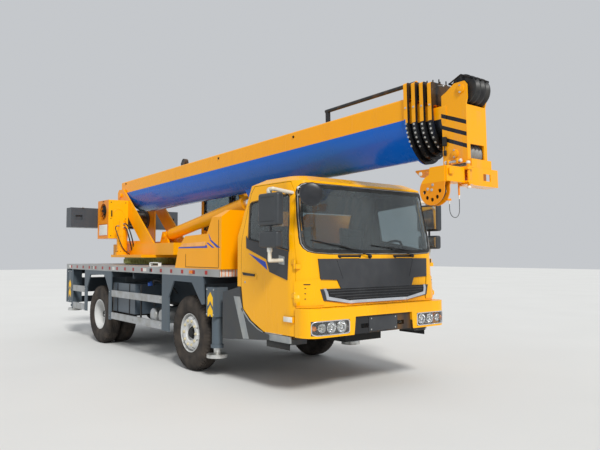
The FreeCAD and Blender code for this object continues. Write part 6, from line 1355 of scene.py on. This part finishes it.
leathercloth = moulded("pvc_leathercloth", "#202123", "#2E2E30", grain=260, roughness=0.5)
suspension_plastic = moulded("seat_bellows_rubber", "#232426", "#35342F", grain=500, roughness=0.7)


def cushion(low, high, flat, cap, material, name, body, channels):
    """A foam pad in a sewn cover inside the box from low to high. Flat is the axis through its
    thickness, and channels are the sewn lines across it, along the axis given with each."""
    low, high = Vector(low), Vector(high)
    middle, half = (low + high) / 2, (high - low) / 2
    room = half - Vector([cap * 1.05 if axis == flat else cap * 0.8 for axis in range(3)])
    pad = slab(-room, room, min(room) * 0.55, 3)
    fresh()
    bpy.context.view_layer.objects.active = pad
    pad.select_set(True)
    shape = pad.modifiers.new("voxels", "REMESH")
    shape.mode, shape.voxel_size = "VOXEL", 0.010
    bpy.ops.object.modifier_apply(modifier=shape.name)
    sides = [axis for axis in range(3) if axis != flat]
    for vertex in pad.data.vertices:
        share = [vertex.co[axis] / room[axis] for axis in range(3)]
        for axis, other in (sides, sides[::-1]):
            vertex.co[axis] *= 1 - 0.045 * (1 - share[other] ** 2)
        crown = (1 - share[sides[0]] ** 2) * (1 - share[sides[1]] ** 2)
        vertex.co[flat] *= 0.86 + 0.14 * crown
    resting = [vertex.co.copy() for vertex in pad.data.vertices]
    foam = pad.modifiers.new("foam", "CLOTH")
    foam.settings.use_pressure = True
    foam.settings.uniform_pressure_force = 4.0
    foam.settings.effector_weights.gravity = 0.0
    for number in range(1, 21):
        bpy.context.scene.frame_set(number)
    bpy.ops.object.modifier_apply(modifier=foam.name)
    bpy.context.scene.frame_set(1)
    for vertex, rest in zip(pad.data.vertices, resting):
        move = vertex.co - rest
        if move.length > cap:
            vertex.co = rest + move * (cap / move.length)
    finer = pad.modifiers.new("finer", "SUBSURF")
    finer.levels = finer.render_levels = 1
    bpy.ops.object.modifier_apply(modifier=finer.name)
    edge_of_top = max(vertex.co[flat] for vertex in pad.data.vertices)
    for vertex in pad.data.vertices:
        for axis, at in channels:
            near = abs(vertex.co[axis] - at * half[axis]) / 0.009
            if near < 3 and abs(vertex.co[flat]) > edge_of_top * 0.35:
                vertex.co[flat] -= math.copysign(0.007 * math.exp(-near * near), vertex.co[flat])
        for axis in range(3):
            vertex.co[axis] = max(-half[axis], min(half[axis], vertex.co[axis]))
    skin_tree = BVHTree.FromPolygons([v.co for v in pad.data.vertices], [list(p.vertices) for p in pad.data.polygons])
    cords = []
    for level in (-0.42, 0.42):
        ring = []
        for number in range(56):
            turn = math.tau * number / 56
            way = Vector((0, 0, 0))
            way[sides[0]], way[sides[1]] = half[sides[0]] * math.cos(turn), half[sides[1]] * math.sin(turn)
            start = way * 2.0
            start[flat] = half[flat] * level
            way[flat] = 0
            hit = skin_tree.ray_cast(start, -way.normalized())[0]
            ring.append(tuple(hit + way.normalized() * 0.0006))
        cords.append(pipe(ring + ring[:2], 0.0028, 1, 3))
    made = welded([pad] + cords)
    made.data.transform(Matrix.Translation(middle))
    dress(made, name, material, body, 60)
    return made


driver_cushion = cushion((2.085, 0.365, 1.334), (2.575, 0.855, 1.458), 2, 0.016, seat_cloth, "driver_cushion", "chassis",
                         ((1, -0.48), (1, 0.48), (0, -0.30), (0, 0.30)))
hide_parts("cab_seats")
cushion((1.993, 0.375, 1.440), (2.100, 0.845, 1.985), 0, 0.014, seat_cloth, "driver_back", "chassis",
        ((1, -0.48), (1, 0.48), (2, 0.45), (2, -0.15)))
mate_cushion = cushion((2.085, -0.896, 1.334), (2.575, -0.484, 1.458), 2, 0.016, seat_cloth, "mate_cushion_1", "chassis",
                       ((1, -0.48), (1, 0.48), (0, -0.30), (0, 0.30)))
mate_back = cushion((1.993, -0.893, 1.440), (2.100, -0.487, 1.985), 0, 0.014, seat_cloth, "mate_back_1", "chassis",
                    ((1, -0.48), (1, 0.48), (2, 0.45), (2, -0.15)))
for model, name in ((mate_cushion, "mate_cushion_2"), (mate_back, "mate_back_2")):
    twin = model.copy()
    twin.data = model.data.copy()
    twin.data.transform(Matrix.Translation((0, 0.420, 0)))
    bpy.context.scene.collection.objects.link(twin)
    twin.name = name
    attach(twin, "chassis")


def bellows(x_low, x_high, y_low, y_high, z_low, z_high, folds):
    """A seat's suspension: a pan on a folded rubber skirt."""
    pitch = (z_high - z_low - 0.03) / folds
    parts = [slab((x_low, y_low, z_high - 0.03), (x_high, y_high, z_high), 0.008)]
    for number in range(folds):
        tuck = 0.012 * (number % 2)
        parts.append(slab((x_low + 0.01 + tuck, y_low + 0.01 + tuck, z_low + pitch * number),
                          (x_high - 0.01 - tuck, y_high - 0.01 - tuck, z_low + pitch * (number + 1) + 0.002), 0.008))
    return welded(parts)


dress(bellows(2.142, 2.518, 0.422, 0.798, 1.121, 1.336, 7), "driver_suspension", suspension_plastic, "chassis")
dress(bellows(2.142, 2.518, -0.838, -0.122, 1.121, 1.336, 3), "mate_seat_box", suspension_plastic, "chassis")

# Dashboard: a moulded desk with a hooded instrument panel and vents, and a steering wheel
# with a leather-grained rim.
dash_paint, dash_surface, dash_place = begin("dashboard_and_wheel")
dash_axes = node(dash_paint, "SeparateXYZ", {0: dash_place}).outputs
is_wheel = above(dash_paint, 2.777, dash_axes[0])
dash_grain = node(dash_paint, "TexVoronoi", {"Vector": dash_place, "Scale": 620.0})
dash_drift = node(dash_paint, "TexNoise", {"Vector": dash_place, "Scale": 5.0})
wire(dash_paint, dash_surface, {
    "Base Color": node(dash_paint, "MixRGB", {"Fac": is_wheel, "Color1": node(dash_paint, "MixRGB", {
        "Fac": dash_drift, "Color1": "#54585B", "Color2": "#474A4D"}), "Color2": "#17181A"}),
    "Roughness": node(dash_paint, "MapRange", {"Value": is_wheel, "To Min": 0.6, "To Max": 0.42}),
    "Normal": node(dash_paint, "Bump", {"Height": dash_grain, "Strength": 0.2, "Distance": 0.0003})})
coat(dash_paint, "dashboard")
desk_parts = [board([(2.792, 1.476), (2.800, 1.560), (2.830, 1.600), (2.990, 1.592), (2.995, 1.574), (2.862, 1.558)],
                    "XZ", 0.40, 0.82, 0.006)]
vents = []
for low, high in ((0.86, 0.98), (0.24, 0.36), (-0.30, -0.10), (-0.98, -0.86)):
    vents += [slab((2.776, low, 1.395 + 0.014 * n), (2.788, high, 1.403 + 0.014 * n), 0.001, 1) for n in range(5)]
dress(welded(desk_parts), "instrument_hood", front_plastic, "chassis")
dress(welded(vents), "dashboard_vents", gloss_black, "chassis")

# Operator's cab: a welded steel cabin in the crane's yellow with a leaning front window,
# panes in rubber, and a sliding door on two tracks.
coat(lined("operator_cab_enamel", YELLOW, "#54575A", (-1.14, 0.84, 2.27)), "operator_cab", "operator_door")
panes = {
    "front": board([(-0.346, 1.802), (-0.346, 2.111), (-0.5612, 2.828), (-0.5676, 2.828), (-0.352, 2.112), (-0.352, 1.802)],
                   "XZ", 0.572, 1.103),
    "inner": board([(-1.828, 2.052), (-1.828, 2.818), (-0.722, 2.818), (-0.472, 2.150), (-0.472, 1.902), (-0.900, 1.902)],
                   "XZ", 0.490, 0.496),
    "side": slab((-1.838, 1.172, 2.052), (-1.292, 1.178, 2.778), 0.001, 1),
    "rear": slab((-1.924, 0.582, 2.152), (-1.918, 1.093, 2.778), 0.001, 1),
    "roof": slab((-1.298, 0.582, 2.930), (-0.752, 1.093, 2.936), 0.001, 1)}
for word, pane in panes.items():
    dress(pane, f"operator_{word}_glass", window_glass, "superstructure")
dress(board([(-1.123, 1.952), (-1.123, 2.798), (-0.746, 2.798), (-0.532, 2.105), (-0.522, 1.952)], "XZ", 1.210, 1.215),
      "operator_door_glass", window_glass, "sliding_door")


def beading(outline, radius=0.007):
    """A rubber bead round a window."""
    return pipe(list(outline) + list(outline[:2]), radius, 2, 2)


def in_side_view(outline, y):
    return [(x, y, z) for x, z in outline]


inner_window = [(-1.828, 2.052), (-1.828, 2.818), (-0.722, 2.818), (-0.472, 2.150), (-0.472, 1.902), (-0.900, 1.902)]
seals = [
    beading(in_side_view(inner_window, 0.479)),
    beading(in_side_view([(-1.838, 2.052), (-1.292, 2.052), (-1.292, 2.778), (-1.838, 2.778)], 1.189), 0.005),
    beading([(-0.340, 0.572, 1.802), (-0.340, 1.103, 1.802), (-0.340, 1.103, 2.110), (-0.556, 1.103, 2.828),
             (-0.556, 0.572, 2.828), (-0.340, 0.572, 2.110)]),
    beading([(-1.940, 0.582, 2.152), (-1.940, 1.093, 2.152), (-1.940, 1.093, 2.778), (-1.940, 0.582, 2.778)]),
    beading([(-1.298, 0.582, 2.950), (-0.752, 0.582, 2.950), (-0.752, 1.093, 2.950), (-1.298, 1.093, 2.950)])]
dress(welded(seals), "operator_window_seals", rubber, "superstructure")
door_opening = [(-1.123, 1.952), (-1.123, 2.798), (-0.746, 2.798), (-0.532, 2.105), (-0.522, 1.952)]
dress(welded([beading(in_side_view(door_opening, 1.225)), beading(in_side_view(door_opening, 1.204), 0.003)]),
      "operator_door_seal", rubber, "sliding_door")
dress(welded([slab((-1.080, 1.225, 1.842), (-0.960, 1.231, 1.902), 0.002),
              pipe([(-1.068, 1.228, 1.872), (-1.068, 1.250, 1.872), (-0.972, 1.250, 1.872), (-0.972, 1.228, 1.872)], 0.006, 2)]),
      "operator_door_handle", grip_black, "sliding_door")
wiper_hub = lathe([(0.0, 0.030), (0.014, 0.029), (0.018, 0.022), (0.020, 0.0), (0.020, -0.006)],
                  (-0.341, 0.84, 1.762), FRONT, 20)
wiper_parts = [wiper_hub, pipe([(-0.315, 0.84, 1.762), (-0.322, 0.80, 1.900), (-0.331, 0.74, 2.070), (-0.347, 0.69, 2.185)],
                               0.005, 2, 3),
               pipe([(-0.337, 0.70, 1.960), (-0.336, 0.695, 2.080), (-0.366, 0.680, 2.230), (-0.412, 0.665, 2.390)],
                    0.005, 2, 3)]
dress(welded(wiper_parts), "operator_wiper", grip_black, "superstructure")

# Operator's place: a vinyl seat on bellows, a control console with two rows of levers.
operator_cushion = cushion((-1.555, 0.625, 1.862), (-1.085, 1.055, 1.958), 2, 0.014, leathercloth, "operator_cushion",
                           "superstructure", ((1, -0.45), (1, 0.45), (0, 0.0)))
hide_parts("operator_seat")
cushion((-1.647, 0.625, 1.920), (-1.545, 1.055, 2.478), 0, 0.013, leathercloth, "operator_back", "superstructure",
        ((1, -0.45), (1, 0.45), (2, 0.35), (2, -0.2)))
dress(bellows(-1.498, -1.152, 0.702, 0.978, 1.631, 1.862, 7), "operator_suspension", suspension_plastic,
      "superstructure")
console = [slab((-1.150, 0.702, 1.631), (-0.801, 0.978, 1.700), 0.010),
           board([(-0.860, 1.640), (-0.860, 1.990), (-0.846, 2.030), (-0.806, 2.040), (-0.792, 2.010), (-0.792, 1.640)],
                 "XZ", 0.642, 1.038, 0.006)]
dress(welded(console), "operator_console", front_plastic, "superstructure")
levers, knobs = [], []
for y in (0.690, 0.750, 0.930, 0.990):
    foot = Vector((-0.832, y, 2.020))
    tip = foot + Vector((-0.022, 0, 0.0))
    levers.append(pipe([tuple(foot), (foot.x - 0.012, y, 2.032), (tip.x, y, 2.046)], 0.004, 2))
    knobs.append(lathe([(0.0, 0.012), (0.009, 0.010), (0.013, 0.002), (0.012, -0.008), (0.007, -0.014), (0.0, -0.015)],
                       (tip.x - 0.002, y, 2.036), (-0.3, 0, 1), 16))
dress(welded(levers), "control_levers", zinc, "superstructure")
dress(welded(knobs), "control_lever_knobs", grip_black, "superstructure")

# Floor and light: a plain pale studio floor, a broad soft light over the right front and
# a plain sky, together as bright as the colours are written.
fresh()
bpy.ops.mesh.primitive_plane_add(size=120, location=(0, 0, 0))
floor = bpy.context.object
floor.name = "studio_floor"
floor_paint, floor_surface, floor_place = begin("pale_floor")
floor_noise = node(floor_paint, "TexNoise", {"Vector": floor_place, "Scale": 0.4})
wire(floor_paint, floor_surface, {
    "Base Color": node(floor_paint, "MixRGB", {"Fac": floor_noise, "Color1": "#D9D9D7", "Color2": "#E2E2E0"}),
    "Roughness": 0.9, "Specular IOR Level": 0.1})
floor.data.materials.append(floor_paint)
bpy.context.scene.view_settings.view_transform = "Standard"
world = bpy.data.worlds.new("plain_sky")
world.use_nodes = True
bpy.context.scene.world = world
sky = world.node_tree.nodes["Background"]
sky.inputs["Color"].default_value = (0.93, 0.96, 1.0, 1.0)
sky.inputs["Strength"].default_value = 0.60
fresh()
sun_way = Vector((-0.72, 0.28, -0.63))
bpy.ops.object.light_add(type="SUN", rotation=sun_way.to_track_quat("-Z", "Y").to_euler())
key = bpy.context.object
key.data.energy = 2.45
key.data.angle = math.radians(12)
key.data.color = (1.0, 0.985, 0.95)
fresh()
